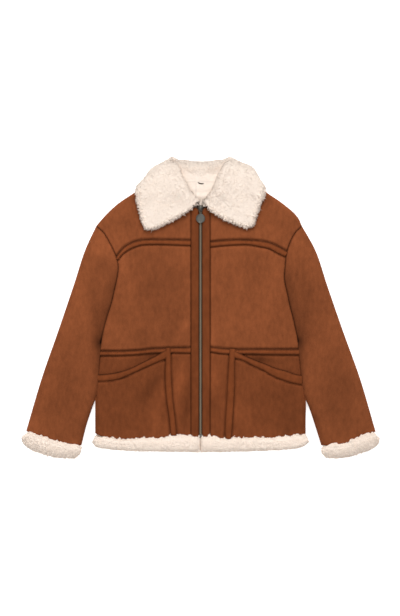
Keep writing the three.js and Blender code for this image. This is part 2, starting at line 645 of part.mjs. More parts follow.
const sliderZ = frontTop(0, SLIDER.y) + 0.4 + GAP + 0.2;
const hingeZ = sliderZ + SLIDER.height + BRIDGE.tunnelRadius + 0.15;
const hingeY = SLIDER.y;

/** The slider: a waisted plate with the bridge that the pull hangs from. */
function sliderSolid() {
  const { length, width, height, y } = SLIDER;
  const plate = new THREE.Shape();
  plate.moveTo(-width * 0.32, -length / 2);
  plate.lineTo(width * 0.32, -length / 2);
  plate.quadraticCurveTo(width * 0.5, 0, width * 0.5, length * 0.3);
  plate.quadraticCurveTo(width * 0.35, length * 0.52, 0, length / 2);
  plate.quadraticCurveTo(-width * 0.35, length * 0.52, -width * 0.5, length * 0.3);
  plate.quadraticCurveTo(-width * 0.5, 0, -width * 0.32, -length / 2);
  const body = new THREE.ExtrudeGeometry(plate, { depth: height, bevelEnabled: false, curveSegments: 5 });
  body.translate(0, y, sliderZ);

  const profile = new THREE.Shape();
  profile.moveTo(-BRIDGE.length / 2, 0);
  profile.lineTo(BRIDGE.length / 2, 0);
  profile.quadraticCurveTo(BRIDGE.length / 2, BRIDGE.height, 0.8, BRIDGE.height);
  profile.lineTo(-0.8, BRIDGE.height);
  profile.quadraticCurveTo(-BRIDGE.length / 2, BRIDGE.height, -BRIDGE.length / 2, 0);
  const arch = new THREE.ExtrudeGeometry(profile, { depth: BRIDGE.width, bevelEnabled: false, curveSegments: 5 });
  arch.translate(0, 0, -BRIDGE.width / 2).rotateX(Math.PI / 2).rotateZ(Math.PI / 2);
  arch.translate(0, y, sliderZ + height - 0.02);

  const tunnel = new THREE.CylinderGeometry(BRIDGE.tunnelRadius, BRIDGE.tunnelRadius, 12, 20)
    .rotateZ(Math.PI / 2)
    .translate(0, hingeY, hingeZ);
  return solidFrom(body).add(solidFrom(arch)).subtract(solidFrom(tunnel));
}
addSolid('slider', sliderSolid(), GUNMETAL);

/** The pull: a bar through the bridge, two arms that close to a point, and a disc with a rim. */
function pullSolid() {
  const { bar, arm, armSpread, reach, discRadius, thickness, rim } = PULL;
  const spread = armSpread / 2 + arm / 2;
  const topBar = new THREE.CylinderGeometry(bar, bar, 2 * spread + arm * 0.4, 16).rotateZ(Math.PI / 2);
  const [outside, inside, ear] = [spread + arm / 2, spread - arm / 2, 1.1];
  const link = new THREE.Shape([
    [-outside, ear], [-outside, -3.5], [-1.6, -reach], [1.6, -reach], [outside, -3.5], [outside, ear],
    [inside, ear], [inside, -3.2], [0, -reach * 0.72], [-inside, -3.2], [-inside, ear],
  ].map(([x, y]) => new THREE.Vector2(x, y)));
  const frame = new THREE.ExtrudeGeometry(link, { depth: thickness, bevelEnabled: false });
  frame.translate(0, 0, -thickness / 2);
  const centreY = -reach - discRadius + 1;
  const profile = [
    [0, 0], [discRadius - 0.3, 0], [discRadius, 0.3], [discRadius, thickness + 0.3],
    [discRadius - 0.3, thickness + 0.6], [discRadius - rim, thickness + 0.6],
    [discRadius - rim - 0.3, thickness], [0, thickness],
  ].map(([r, z]) => new THREE.Vector2(r, z));
  const disc = new THREE.LatheGeometry(profile, 24).rotateX(Math.PI / 2).translate(0, centreY, -thickness / 2 - 0.15);
  return solidFrom(frame).add(solidFrom(topBar)).add(solidFrom(disc));
}
const pull = addSolid('zip_pull', pullSolid(), GUNMETAL);
pull.position.set(0, hingeY, hingeZ);
pull.rotation.x = PULL_TILT;

// ---------------------------------------------------------------- loop to hang the coat by
const loopZ = backTop(0, 218) + GAP;
add('hanger_loop', box(-5, 216.5, loopZ, 10, 3.5, 1.2), TAPE);

export default coat;
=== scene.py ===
"""The shearling coat's looks: suede panels and sewn strips, cream pile, and a gunmetal zip.

Each piece of cloth is a thin wall between lines in plan, on the heights worked out below for cloth
that lies flat. "shade" is an attribute that every finish multiplies its colour by: it holds how the
nap lies, and painted shade and light: dark in seams and grooves, on folds, under the collar and
along the sleeves, light on folds and strips, and on the pile darker where it faces the key light.

Every shape is worked out in millimetres in the coat's own frame: X across, Y from hem to collar,
Z up from the table that it lies on. make_piece() turns millimetres into metres.
"""

import json
import math

import bpy
import numpy as np
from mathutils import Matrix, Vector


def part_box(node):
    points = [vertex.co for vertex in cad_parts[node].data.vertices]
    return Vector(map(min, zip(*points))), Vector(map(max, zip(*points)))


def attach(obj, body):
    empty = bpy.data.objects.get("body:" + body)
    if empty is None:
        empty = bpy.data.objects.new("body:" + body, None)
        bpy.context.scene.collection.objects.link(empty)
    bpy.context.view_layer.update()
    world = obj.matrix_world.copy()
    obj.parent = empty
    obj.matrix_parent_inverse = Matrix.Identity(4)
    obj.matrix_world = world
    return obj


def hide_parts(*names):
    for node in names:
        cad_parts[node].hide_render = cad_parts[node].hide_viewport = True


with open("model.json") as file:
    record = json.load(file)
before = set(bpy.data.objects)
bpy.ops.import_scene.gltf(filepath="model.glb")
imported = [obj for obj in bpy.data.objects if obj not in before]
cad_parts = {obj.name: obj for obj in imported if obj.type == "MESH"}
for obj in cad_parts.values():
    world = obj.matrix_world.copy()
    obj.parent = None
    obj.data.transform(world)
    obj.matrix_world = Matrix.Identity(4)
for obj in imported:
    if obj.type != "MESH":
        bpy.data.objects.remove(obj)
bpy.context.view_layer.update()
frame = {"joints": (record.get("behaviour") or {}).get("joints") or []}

MM = 0.001
WALL = 6.0  # suede and pile together
GAP = 0.3
PLACKET_OUTER = 17.0
PLACKET_INNER = 2.5
SIDES = ("left", "right")
SIGN = {"left": -1, "right": 1}

# ------------------------------------------------------------------ the coat's lines, in millimetres
NECK_EDGE = [(0, 176), (20, 177), (34, 183), (48, 197), (58, 216), (65, 240)]
BACK_NECK = [(0, 222), (34, 226), (54, 233), (65, 240)]
SHOULDER_EDGE = [(65, 240), (113, 204), (146, 182), (172, 157)]
ARMHOLE = {
    "left": [(-183, 144), (-171, 133), (-158, 112), (-149, 93), (-144, 72), (-146, 54), (-151, 31),
             (-156, 9), (-164, -16), (-171, -42), (-175, -61)],
    "right": [(178, 144), (167, 133), (157, 115), (151, 96), (148, 72), (147, 49), (152, 26),
              (157, 2), (163, -21), (168, -44), (171, -58)],
}
SIDE = {
    "left": [(-178, -76), (-180.5, -104), (-184, -114), (-184.7, -170), (-184.7, -262)],
    "right": [(173, -76), (177, -108), (182, -140), (184.5, -156), (184.7, -200), (184.7, -262)],
}
YOKE_SEAM = {  # x, y, width of the strip over it
    "left": [(-17, 114, 10.5), (-62, 115.2, 9.5), (-88, 115.4, 9.5), (-106, 114, 9.5), (-120, 109.5, 10),
             (-132, 102.5, 9), (-141, 93.5, 7), (-150, 80, 6)],
    "right": [(17, 111, 10), (34, 113, 10), (60, 114.7, 9.5), (87, 114.5, 9), (104, 112.5, 11),
              (122, 108.5, 11), (139, 100, 12), (158, 90, 9)],
}
WAIST_SEAM = {
    "left": [(-17, -74, 11), (-62, -74.5, 9), (-88, -75.5, 8.5), (-106, -77.5, 8), (-132, -79, 8),
             (-190, -79.5, 8.5)],
    "right": [(17, -72.5, 9), (34, -75, 10), (60, -76.5, 9), (87, -76.5, 9), (130, -77, 10),
              (190, -77, 10)],
}
POCKET_SEAM = {
    "left": [(-57, -60, 9), (-56.5, -85, 9.5), (-56.5, -119, 11.5), (-54, -160, 11), (-49.5, -195, 10.5),
             (-45.5, -240, 11)],
    "right": [(57, -60, 12), (54.5, -100, 11), (53.5, -135, 13), (51.5, -170, 13), (49.5, -205, 13),
              (48, -240, 10)],
}
POCKET_MOUTH = {  # the welt hangs below this line
    "left": [(-56, -71, 16), (-74, -82, 12), (-88, -89, 11), (-106, -98, 10), (-123, -106, 10),
             (-146, -113, 12), (-167, -116, 12), (-190, -117, 11)],
    "right": [(54, -72, 14), (78, -84, 9), (95, -91, 11), (113, -98, 12), (130, -105, 15),
              (148, -110, 17), (165, -116, 16), (190, -118, 18)],
}
HEM_LINE = [(-190, -217), (-180, -222), (-162, -228), (-88, -229.5), (-20, -226), (0, -229),
            (18, -227), (38, -231.5), (69, -232), (148, -231), (180, -228), (190, -226)]
HEM_FOOT = [(-192, -231), (-185, -242), (-167, -246), (-123, -250), (-62, -251), (0, -252),
            (87, -250), (139, -248), (167, -245), (181, -241), (192, -231)]
SLEEVE_OUTER = {
    "left": [(-183, 144), (-200, 108), (-222, 42), (-249, -38), (-278, -121), (-306, -215.5)],
    "right": [(178, 144), (200, 105), (223, 38), (250, -40), (279.5, -122), (307.5, -217)],
}
SLEEVE_INNER = {
    "left": [(-175, -61), (-177, -100), (-181, -150), (-190, -175), (-200, -205), (-209, -241)],
    "right": [(171, -58), (174, -100), (181, -152), (191, -176), (201, -206), (212, -241)],
}
CUFF_LINE = {
    "left": [(-306, -215.5), (-289, -222), (-264, -231), (-249, -236), (-229, -240), (-209, -241)],
    "right": [(307.5, -217), (288, -223), (265, -233), (252, -239), (232, -241), (212, -241)],
}
CUFF_FOOT = {
    "left": [(-313, -226), (-312.5, -233), (-306, -241), (-283, -253), (-258, -260), (-236, -262.5),
             (-219, -261.5), (-211, -255)],
    "right": [(313, -227), (312.5, -235), (306, -242), (283, -253), (258, -260), (236, -262.5),
              (221, -261), (212.5, -254)],
}
COLLAR = {  # foot, roll, bulge and edge in plan, then how high the stand and the fall run, -1 to 1
    "left": [
        (3.2, 179.5, 3.6, 185.5, 45, 159, 84, 141, 1, 1), (8, 178.5, 6, 189, 52, 163, 94, 141.5, 1, 1),
        (20, 178.5, 14, 196, 60, 173, 99.5, 154, 1, 1), (33, 185, 24.5, 211, 73, 191, 104, 173, 1, 1),
        (46.5, 198.5, 36, 233, 83, 211, 108, 192, 1, 1), (56, 217, 44, 250, 86, 232, 109, 204, 0.8, 0.9),
        (61, 239, 49.5, 259.5, 80, 244, 107, 213, 0.3, 0.2), (52, 236, 43.5, 258.5, 74, 240, 98, 208, -0.6, -1),
        (34, 228, 30, 256, 52, 234, 62, 212, -1, -1), (0, 223, 0, 253.5, 0, 234, 0, 212, -1, -1),
    ],
    "right": [
        (4.2, 176.6, 5, 183.5, 42, 158.5, 79, 144, 1, 1), (9, 177.5, 8, 187, 50, 162.5, 88, 146, 1, 1),
        (20, 178.5, 15, 195, 60, 173, 93, 159, 1, 1), (33, 185, 25, 211, 74, 192, 101, 180, 1, 1),
        (46.5, 198.5, 34, 232, 86, 214, 107, 197, 1, 1), (56, 217, 44, 250, 92, 234, 109, 206, 0.8, 0.9),
        (61, 239, 52, 259.8, 88, 244, 108, 214, 0.3, 0.2), (52, 236, 44, 258.5, 78, 240, 98, 208, -0.6, -1),
        (34, 228, 30, 256, 52, 234, 62, 212, -1, -1), (0, 223, 0, 253.5, 0, 234, 0, 212, -1, -1),
    ],
}

# Creases: start, end, half width, and depth, which is below 0 for a ridge.
FOLDS = [
    (-72, -96, -106, -170, 15, 2.6), (-64, -128, -92, -214, 14, -1.8), (-140, -140, -120, -210, 20, 1.0),
    (-26, -84, -48, -146, 9, -2.2), (-20, -130, -38, -214, 8, 2.4), (-160, -150, -168, -210, 12, -1.2),
    (24, -116, 26, -138, 8, -1.6), (34, -150, 30, -214, 11, 1.8), (80, -130, 70, -210, 15, -1.3),
    (120, -140, 104, -208, 18, 1.2), (150, -150, 152, -212, 13, -1.0), (100, -92, 140, -100, 7, 1.0),
    (-128, 84, -140, 8, 11, -1.6), (-112, 70, -128, -50, 14, 1.3), (-60, 90, -70, 20, 20, -1.0),
    (-40, 10, -52, -60, 16, 1.3), (-24, -40, -44, -66, 8, -1.4), (-90, 20, -104, -62, 18, -1.0),
    (132, 78, 138, -10, 12, -1.5), (112, 60, 126, -52, 16, 1.3), (60, 92, 66, 10, 20, -1.0),
    (26, -30, 34, -62, 9, -1.3), (42, 40, 52, -40, 16, 1.1), (86, 0, 94, -62, 18, -0.9),
    (-96, 168, -140, 128, 14, 1.2), (-60, 130, -110, 132, 12, -0.9), (-140, 160, -158, 136, 10, -0.9),
    (92, 166, 136, 128, 14, 1.2), (58, 128, 104, 130, 12, -0.9), (140, 160, 154, 136, 10, -0.8),
    (-172, 112, -196, 20, 11, -1.4), (-190, 60, -214, -60, 13, 1.6), (-176, 30, -190, -60, 10, -1.2),
    (-214, -20, -248, -130, 15, -1.3), (-206, -100, -222, -200, 13, 1.5), (-240, -130, -266, -210, 13, 1.0),
    (-184, -40, -196, -130, 9, 1.6), (-262, -150, -282, -216, 9, -1.0),
    (170, 112, 196, 20, 11, -1.4), (190, 62, 214, -56, 13, 1.6), (176, 34, 190, -56, 10, -1.2),
    (216, -24, 250, -134, 15, -1.3), (206, -96, 224, -198, 13, 1.5), (242, -128, 268, -208, 13, 1.0),
    (184, -40, 198, -128, 9, 1.6), (264, -150, 284, -214, 9, -1.0),
]

# Patches lighter (above 0) or darker (below 0), partly how the nap lies and partly painted light and shade on
# folds, at the pocket mouths and along the armholes: x, y, reach across, reach along, turn, share.
NAP_AND_SHADE = [
    (-130, 50, 15, 60, 0.15, 0.13), (-75, 20, 40, 60, 0.0, -0.06), (-185, 84, 12, 34, -0.4, 0.08),
    (-50, -50, 26, 16, 0.4, -0.10), (-30, -36, 8, 22, -0.6, 0.14),
    (-38, -132, 9, 38, -0.25, 0.30), (-24, -172, 7, 44, -0.15, -0.22),
    (-85, -136, 11, 36, -0.55, -0.20), (-78, -186, 11, 40, -0.24, 0.17), (-140, -170, 30, 40, 0, -0.02),
    (22, -55, 8, 16, 0, 0.16), (25, -124, 9, 24, 0.05, 0.22), (25, -172, 11, 17, 0, -0.08),
    (72, -180, 15, 34, 0.1, 0.12), (150, -180, 24, 44, 0, -0.09), (60, 20, 30, 60, 0, 0.03),
    (104, -88, 20, 6, -0.35, -0.30), (-90, -84, 24, 5, 0.3, -0.24), (-52, -100, 5, 30, 0, 0.06),
    (130, 50, 14, 56, -0.15, 0.09), (186, 84, 12, 34, 0.4, 0.04), (100, 130, 40, 12, 0, 0.05),
    (-165, 100, 14, 24, 0.3, 0.10), (-182, -20, 10, 60, 0.05, -0.14), (-215, 30, 12, 60, 0.3, 0.10),
    (182, -20, 10, 60, -0.05, -0.12), (168, 100, 14, 24, -0.3, 0.05), (226, -20, 14, 70, -0.3, 0.03),
    (-236, -120, 20, 70, 0.3, -0.03), (240, -130, 20, 70, -0.3, -0.04), (215, 30, 60, 80, 0, -0.08),
    (255, -150, 50, 70, 0, -0.10), (-255, -150, 50, 70, 0, -0.04), (-90, 40, 60, 80, 0, -0.05),
    (-37, -150, 17, 70, 0, 0.055), (34, -150, 16, 70, 0, 0.05), (-66, -210, 16, 14, 0.4, 0.06),
]


# ------------------------------------------------------------------ lines and patches
def ease(share):
    """0 to 1 along 3t² - 2t³."""
    t = np.clip(share, 0, 1)
    return t * t * (3 - 2 * t)


def quarter(share):
    """0 at an edge and 1 one radius in from it, along a quarter of a circle."""
    return np.sqrt(1 - (1 - np.clip(share, 0, 1)) ** 2)


def round_over(share):
    """The drop that such a quarter circle leaves: 1 at the edge and 0 one radius in."""
    return 1 - quarter(share)


def bell(away, width):
    """1 on a line and less beside it, as a Gaussian: e to the power -(away / width)²."""
    return np.exp(-(away / width) ** 2)


def at_shares(line, shares):
    """Points of a line at shares of its length."""
    line = np.asarray(line, float)
    gone = np.concatenate([[0], np.cumsum(np.linalg.norm(np.diff(line, axis=0), axis=1))])
    return np.stack([np.interp(np.asarray(shares) * gone[-1], gone, c) for c in line.T], -1)


def even(line, count):
    """The same line as count points, equal steps apart."""
    return at_shares(line, np.linspace(0, 1, count))


def curve(points, count=400):
    """A smooth line through points: cubic Hermite pieces over chord length h, with the tangent at
    each point the chord slopes on its two sides, each weighted by the other side's length."""
    p = np.asarray(points, float)
    h = np.linalg.norm(np.diff(p, axis=0), axis=1)[:, None]
    slope = np.diff(p, axis=0) / h
    inner = (slope[:-1] * h[1:] + slope[1:] * h[:-1]) / (h[:-1] + h[1:])
    m = np.vstack([slope[:1], inner, slope[-1:]])
    t = np.linspace(0, len(h) - 1e-9, 30 * len(h))
    i = t.astype(int)
    s = (t - i)[:, None]
    dense = (p[i] * (1 + 2 * s) * (1 - s) ** 2 + m[i] * h[i] * s * (1 - s) ** 2
             + p[i + 1] * s * s * (3 - 2 * s) + m[i + 1] * h[i] * s * s * (s - 1))
    return even(dense, count)


def crossing(one, other):
    """Where two lines in plan meet: the middle of their two closest points."""
    apart = np.linalg.norm(one[:, None, :2] - other[None, :, :2], axis=2)
    i, j = np.unravel_index(apart.argmin(), apart.shape)
    return (one[i, :2] + other[j, :2]) / 2


def cut(line, start, end, count=160):
    """The part of a line between the places nearest two points, eased to end exactly at them."""
    line = line[:, :2]
    i, j = (int(np.linalg.norm(line - p, axis=1).argmin()) for p in (start, end))
    part = even(line[i:j + 1] if i <= j else line[j:i + 1][::-1], count)
    s = np.linspace(0, 1, count)[:, None]
    return part + (start - part[0]) * (1 - s) + (end - part[-1]) * s


def shares_for(length, coarse, fine, band):
    """Shares from 0 to 1 whose steps grow from fine at both ends to coarse past a band in from them."""
    s = np.linspace(0, length, 3000)
    step = fine + (coarse - fine) * ease(np.minimum(s, length - s) / band)
    gone = np.concatenate([[0], np.cumsum(np.diff(s) / step[1:])])
    return np.interp(np.linspace(0, gone[-1], max(4, int(gone[-1]))), gone, s) / length


def length_of(line):
    return float(np.linalg.norm(np.diff(line, axis=0), axis=1).sum())


def patch(bottom, top, start, end, us, vs):
    """A Coons patch in plan: bottom(u)(1-v) + top(u)v + start(v)(1-u) + end(v)u, less the four
    corners mixed the same way. The result has one row for each v."""
    b, t = at_shares(bottom, us)[None], at_shares(top, us)[None]
    s, e = at_shares(start, vs)[:, None], at_shares(end, vs)[:, None]
    u, v = np.asarray(us)[None, :, None], np.asarray(vs)[:, None, None]
    corners = (bottom[0] * (1 - u) * (1 - v) + bottom[-1] * u * (1 - v)
               + top[0] * (1 - u) * v + top[-1] * u * v)
    return b * (1 - v) + t * v + s * (1 - u) + e * u - corners


def reach(xy, line, count=90):
    """Distance in plan from every point to the nearest place on a line."""
    line = even(np.asarray(line, float)[:, :2], count)
    a, d = line[:-1], np.diff(line, axis=0)
    flat = xy.reshape(-1, 2)
    best = np.full(len(flat), 1e9)
    for k in range(len(d)):
        t = np.clip(((flat - a[k]) @ d[k]) / (d[k] @ d[k] + 1e-12), 0, 1)
        best = np.minimum(best, np.hypot(*(flat - a[k] - t[:, None] * d[k]).T))
    return best.reshape(xy.shape[:-1])


def to_outline(xy, count=90):
    """Distance in plan from every point of a grid to the nearest of the grid's own four edges."""
    return np.minimum.reduce([reach(xy, edge, count) for edge in (xy[0], xy[-1], xy[:, 0], xy[:, -1])])


def ripples(x, y, wavelength, key, count=10):
    """Soft random relief: plane waves of random heading and of 0.7 to 1.5 times one wavelength."""
    draw = np.random.default_rng(key)
    total = np.zeros_like(x)
    for heading, stretch, phase in draw.random((count, 3)):
        k = 2 * math.pi / (wavelength * (0.7 + 0.8 * stretch))
        total += np.sin(k * (x * math.cos(math.tau * heading) + y * math.sin(math.tau * heading))
                        + math.tau * phase)
    return total / math.sqrt(count)


def curls(x, y, size, key):
    """Round lumps of pile: each square cell has one centre at a random place in it, and the height
    is 1 less the squared distance to the nearest centre in cells, down to 0."""
    spots = np.random.default_rng(key).random((61, 61, 3))
    cx, cy = x / size, y / size
    ix, iy = np.floor(cx).astype(int), np.floor(cy).astype(int)
    best = np.full(x.shape, 9.0)
    for dx in (-1, 0, 1):
        for dy in (-1, 0, 1):
            spot = spots[(ix + dx) % 61, (iy + dy) % 61]
            d = (ix + dx + spot[..., 0] - cx) ** 2 + (iy + dy + spot[..., 1] - cy) ** 2
            best = np.minimum(best, d)
    return np.clip(1 - best, 0, 1)


# ------------------------------------------------------------------ how high the laid cloth is
def lift(x, y):
    """The collar's fall under the neck holds the back panel up by 6.6 mm."""
    return 6.6 * ease((y - 182) / 27) * ease((148 - np.abs(x)) / 30)


def turned(x, y):
    """The fronts turn down 3.6 mm over the last 11 mm to a side seam."""
    return 3.6 * round_over((183 - np.abs(x)) / 11) * ease((-60 - y) / 40)


def back_low(x, y):
    return lift(x, y) + 0.8 * turned(x, y)


def back_top(x, y):
    return lift(x, y) + WALL


def front_low(x, y):
    """Air between front and back: 2.4 mm in the middle, none at the sides."""
    return back_top(x, y) + GAP + 2.4 * (1 - (x / 190) ** 2) * (0.8 + 0.2 * np.cos(y / 70))


def plain_top(x, y):
    return front_low(x, y) + WALL - turned(x, y)


def creases(x, y):
    """Each fold is a trough of Gaussian section along its segment, fading out towards both ends."""
    depth = np.zeros_like(x)
    for x0, y0, x1, y1, width, deep in FOLDS:
        dx, dy = x1 - x0, y1 - y0
        t = ((x - x0) * dx + (y - y0) * dy) / (dx * dx + dy * dy)
        away = ((x - x0) * dy - (y - y0) * dx) / math.hypot(dx, dy)
        away = away + width * 0.35 * np.sin(3 * t + x0)
        depth += deep * bell(away, width) * ease((t + 0.25) / 0.5) * ease((1.25 - t) / 0.5)
    return -depth


def cloth_relief(x, y):
    """Folds, the slow waves of laid cloth, and small dents from handling."""
    return (creases(x, y) + 0.35 * ripples(x, y, 75, 11) + 0.12 * ripples(x, y, 26, 12)
            + 0.035 * ripples(x, y, 9, 13))


def nap_and_painted_shade(x, y):
    """How light the nap lies, about 1, with painted light and shade on folds: the listed patches, and
    cloudiness of two sizes.
    """
    shade = np.ones_like(x)
    for cx, cy, across, along, turn, share in NAP_AND_SHADE:
        dx, dy = x - cx, y - cy
        a = dx * math.cos(turn) + dy * math.sin(turn)
        b = -dx * math.sin(turn) + dy * math.cos(turn)
        shade += 1.45 * share * np.exp(-(a / across) ** 2 - (b / along) ** 2)
    return shade + 0.018 * ripples(x, y, 48, 21) + 0.014 * ripples(x, y, 17, 22)


# ------------------------------------------------------------------ meshes
def make_piece(name, points, faces, finish, shade=None, body="coat", replaced=()):
    """A mesh from points in millimetres and lots of faces, riding on a body. Nothing goes below the
    table: what would is pressed flat on it."""
    mesh = bpy.data.meshes.new(name)
    mesh.vertices.add(len(points))
    points = np.array(points, float)
    points[:, 2] = np.maximum(points[:, 2], 0.0)
    mesh.vertices.foreach_set("co", (points * MM).astype(np.float32).ravel())
    sizes = np.concatenate([np.full(len(f), f.shape[1]) for f in faces])
    corners = np.concatenate([f.ravel() for f in faces])
    mesh.loops.add(len(corners))
    mesh.loops.foreach_set("vertex_index", corners.astype(np.int32))
    mesh.polygons.add(len(sizes))
    mesh.polygons.foreach_set("loop_start", np.concatenate([[0], np.cumsum(sizes)[:-1]]).astype(np.int32))
    mesh.polygons.foreach_set("loop_total", sizes.astype(np.int32))
    mesh.update(calc_edges=True)
    mesh.validate()
    mesh.polygons.foreach_set("use_smooth", np.ones(len(mesh.polygons), bool))
    layer = mesh.attributes.new("shade", "FLOAT", "POINT")
    layer.data.foreach_set("value", np.ones(len(points), np.float32) if shade is None
                           else np.asarray(shade, np.float32).ravel())
    mesh.materials.append(finish)
    piece = bpy.data.objects.new(name, mesh)
    bpy.context.scene.collection.objects.link(piece)
    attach(piece, body)
    if replaced:
        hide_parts(*replaced)
    return piece


def grid_faces(rows, columns, around=False, first=0):
    """Quads of a grid of points, row by row. around joins the last column to the first."""
    i, j = np.meshgrid(np.arange(rows - 1), np.arange(columns - (0 if around else 1)), indexing="ij")
    k = (j + 1) % columns
    return first + np.stack([i * columns + j, i * columns + k, (i + 1) * columns + k,
                             (i + 1) * columns + j], -1).reshape(-1, 4)


def rim_faces(rows, columns):
    """Quads that join the rims of two grids of the same size, the second's points after the first's."""
    at = np.arange(rows * columns).reshape(rows, columns)
    rim = np.concatenate([at[0, :-1], at[:-1, -1], at[-1, :0:-1], at[:0:-1, 0]])
    ahead = np.roll(rim, -1)
    under = rows * columns
    return np.stack([rim, rim + under, ahead + under, ahead], -1)


def is_anticlockwise(xy):
    """Whether u then v turns left in plan, summed over the grid's cells."""
    a, b = xy[:-1, 1:] - xy[:-1, :-1], xy[1:, :-1] - xy[:-1, :-1]
    return (a[..., 0] * b[..., 1] - a[..., 1] * b[..., 0]).sum() > 0


def walled(top, low):
    """A closed wall between a top grid and a low one: points and faces, facing outwards."""
    rows, columns = top.shape[:2]
    if not is_anticlockwise(top[..., :2]):
        top, low = top[:, ::-1], low[:, ::-1]
    upper = grid_faces(rows, columns)
    under = grid_faces(rows, columns, first=rows * columns)[:, ::-1]
    points = np.concatenate([top.reshape(-1, 3), low.reshape(-1, 3)])
    return points, [np.concatenate([upper, under, rim_faces(rows, columns)])]


def plan_area(xy):
    a, b = xy[1:, 1:] - xy[:-1, :-1], xy[1:, :-1] - xy[:-1, 1:]
    return float(np.abs(a[..., 0] * b[..., 1] - a[..., 1] * b[..., 0]).sum() / 2)


# ------------------------------------------------------------------ finishes
class Wire:
    """A shader socket on which sums are written as plain expressions, each adding a Math node."""

    def __init__(self, finish, socket):
        self.finish, self.socket = finish, socket

    def math(self, operation, *terms):
        return self.finish.node("ShaderNodeMath", {"operation": operation}, dict(enumerate(terms)))

    def __add__(self, other):
        return self.math("ADD", self, other)

    def __sub__(self, other):
        return self.math("SUBTRACT", self, other)

    def __rsub__(self, other):
        return self.math("SUBTRACT", other, self)

    def __mul__(self, other):
        return self.math("MULTIPLY", self, other)

    __radd__, __rmul__ = __add__, __mul__


class Finish:
    """A material made of nodes, with one Principled shader whose plain settings are given."""

    def __init__(self, name, **settings):
        self.material = bpy.data.materials.new(name)
        self.material.use_nodes = True
        self.tree = self.material.node_tree
        self.tree.nodes.clear()
        self.shader = self.tree.nodes.new("ShaderNodeBsdfPrincipled")
        out = self.tree.nodes.new("ShaderNodeOutputMaterial")
        self.tree.links.new(self.shader.outputs[0], out.inputs[0])
        for key, value in settings.items():
            self.shader.inputs[key.replace("_", " ")].default_value = value

    def node(self, kind, settings, values, output=0):
        """Adds a node, sets its settings and then its sockets, and returns one output."""
        made = self.tree.nodes.new(kind)
        for key, value in settings.items():
            setattr(made, key, value)
        for key, value in values.items():
            if isinstance(value, Wire):
                self.tree.links.new(value.socket, made.inputs[key])
            else:
                made.inputs[key].default_value = value
        return Wire(self, made.outputs[output])

    def feed(self, socket, wire):
        self.tree.links.new(wire.socket, self.shader.inputs[socket])

    def place(self):
        return self.node("ShaderNodeTexCoord", {}, {}, "Object")

    def noise(self, size, detail=2.0, rough=0.5, stretch=None):
        """Noise whose features are about size metres across, 0 to 1."""
        where = self.place()
        if stretch:
            where = self.node("ShaderNodeMapping", {}, {"Vector": where, "Scale": stretch})
        return self.node("ShaderNodeTexNoise", {}, {"Vector": where, "Scale": 1 / size,
                                                   "Detail": detail, "Roughness": rough}, "Fac")

    def shade(self):
        return self.node("ShaderNodeAttribute", {"attribute_name": "shade"}, {}, "Fac")

    def tinted(self, colour, level):
        """The colour times a level from 0 to 2, as a mix from black to twice the colour."""
        full = tuple(2 * c for c in colour) + (1.0,)
        return self.node("ShaderNodeMix", {"data_type": "RGBA", "blend_type": "MIX", "clamp_factor": True},
                         {0: level * 0.5, 6: (0.0, 0.0, 0.0, 1.0), 7: full}, 2)

    def bump(self, height, distance, strength=1.0):
        return self.node("ShaderNodeBump", {}, {"Height": height, "Distance": distance,
                                               "Strength": strength}, "Normal")


def suede(name, colour):
    """Brushed suede: matt with a soft sheen, mottled by how the nap lies, darker where the shade attribute
    paints shade into seams and grooves.
    """
    made = Finish(name, Sheen_Weight=0.15, Sheen_Roughness=0.45, Sheen_Tint=(*colour, 1.0),
                  Specular_IOR_Level=0.06)
    nap, cloud = made.noise(0.0013, 3), made.noise(0.035, 3)
    streak = made.noise(0.006, 3, 0.6, (1.0, 0.45, 1.0))
    level = made.shade() * (0.37 + nap * 0.24 + streak * 0.60 + cloud * 0.42)
    made.feed("Base Color", made.tinted(colour, level))
    made.feed("Roughness", 0.82 + nap * 0.16)
    made.feed("Normal", made.bump(nap * 0.6 + made.noise(0.0032, 3) * 0.9, 0.00035))
    return made.material


def pile_finish(name, colour):
    """Cream fleece: matt, with fibres as fine bump, a little lighter at the tips of the curls."""
    made = Finish(name, Roughness=0.95, Sheen_Weight=0.35, Sheen_Roughness=0.6,
                  Sheen_Tint=(*colour, 1.0), Specular_IOR_Level=0.12)
    fibre, curl, cloud = made.noise(0.0009, 3), made.noise(0.004, 3), made.noise(0.02, 2)
    level = made.shade() * (0.90 + fibre * 0.08 + curl * 0.08 + cloud * 0.05)
    made.feed("Base Color", made.tinted(colour, level))
    made.feed("Normal", made.bump(fibre * 0.5 + curl * 0.7, 0.0006))
    return made.material


def metal_finish(name, colour, rough):
    """Dark plated metal with a satin surface, a little rubbed."""
    made = Finish(name, Metallic=0.85)
    rub, grain = made.noise(0.004, 3), made.noise(0.0006, 2)
    made.feed("Base Color", made.tinted(colour, made.shade() * (0.8 + rub * 0.4)))
    made.feed("Roughness", rough - 0.1 + grain * 0.2)
    made.feed("Normal", made.bump(grain, 0.00005))
    return made.material


def woven_finish(name, colour):
    """Woven tape: two crossing sets of threads as bump, 0.5 mm apart."""
    made = Finish(name, Roughness=0.9, Specular_IOR_Level=0.2)
    threads = [made.node("ShaderNodeTexWave", {"bands_direction": way}, {
        "Vector": made.place(), "Scale": 320.0, "Distortion": 0.4}, "Fac") for way in "XY"]
    made.feed("Base Color", made.tinted(colour, made.shade() * (0.8 + threads[0] * 0.2 + threads[1] * 0.2)))
    made.feed("Normal", made.bump(threads[0] * threads[1], 0.0002))
    return made.material


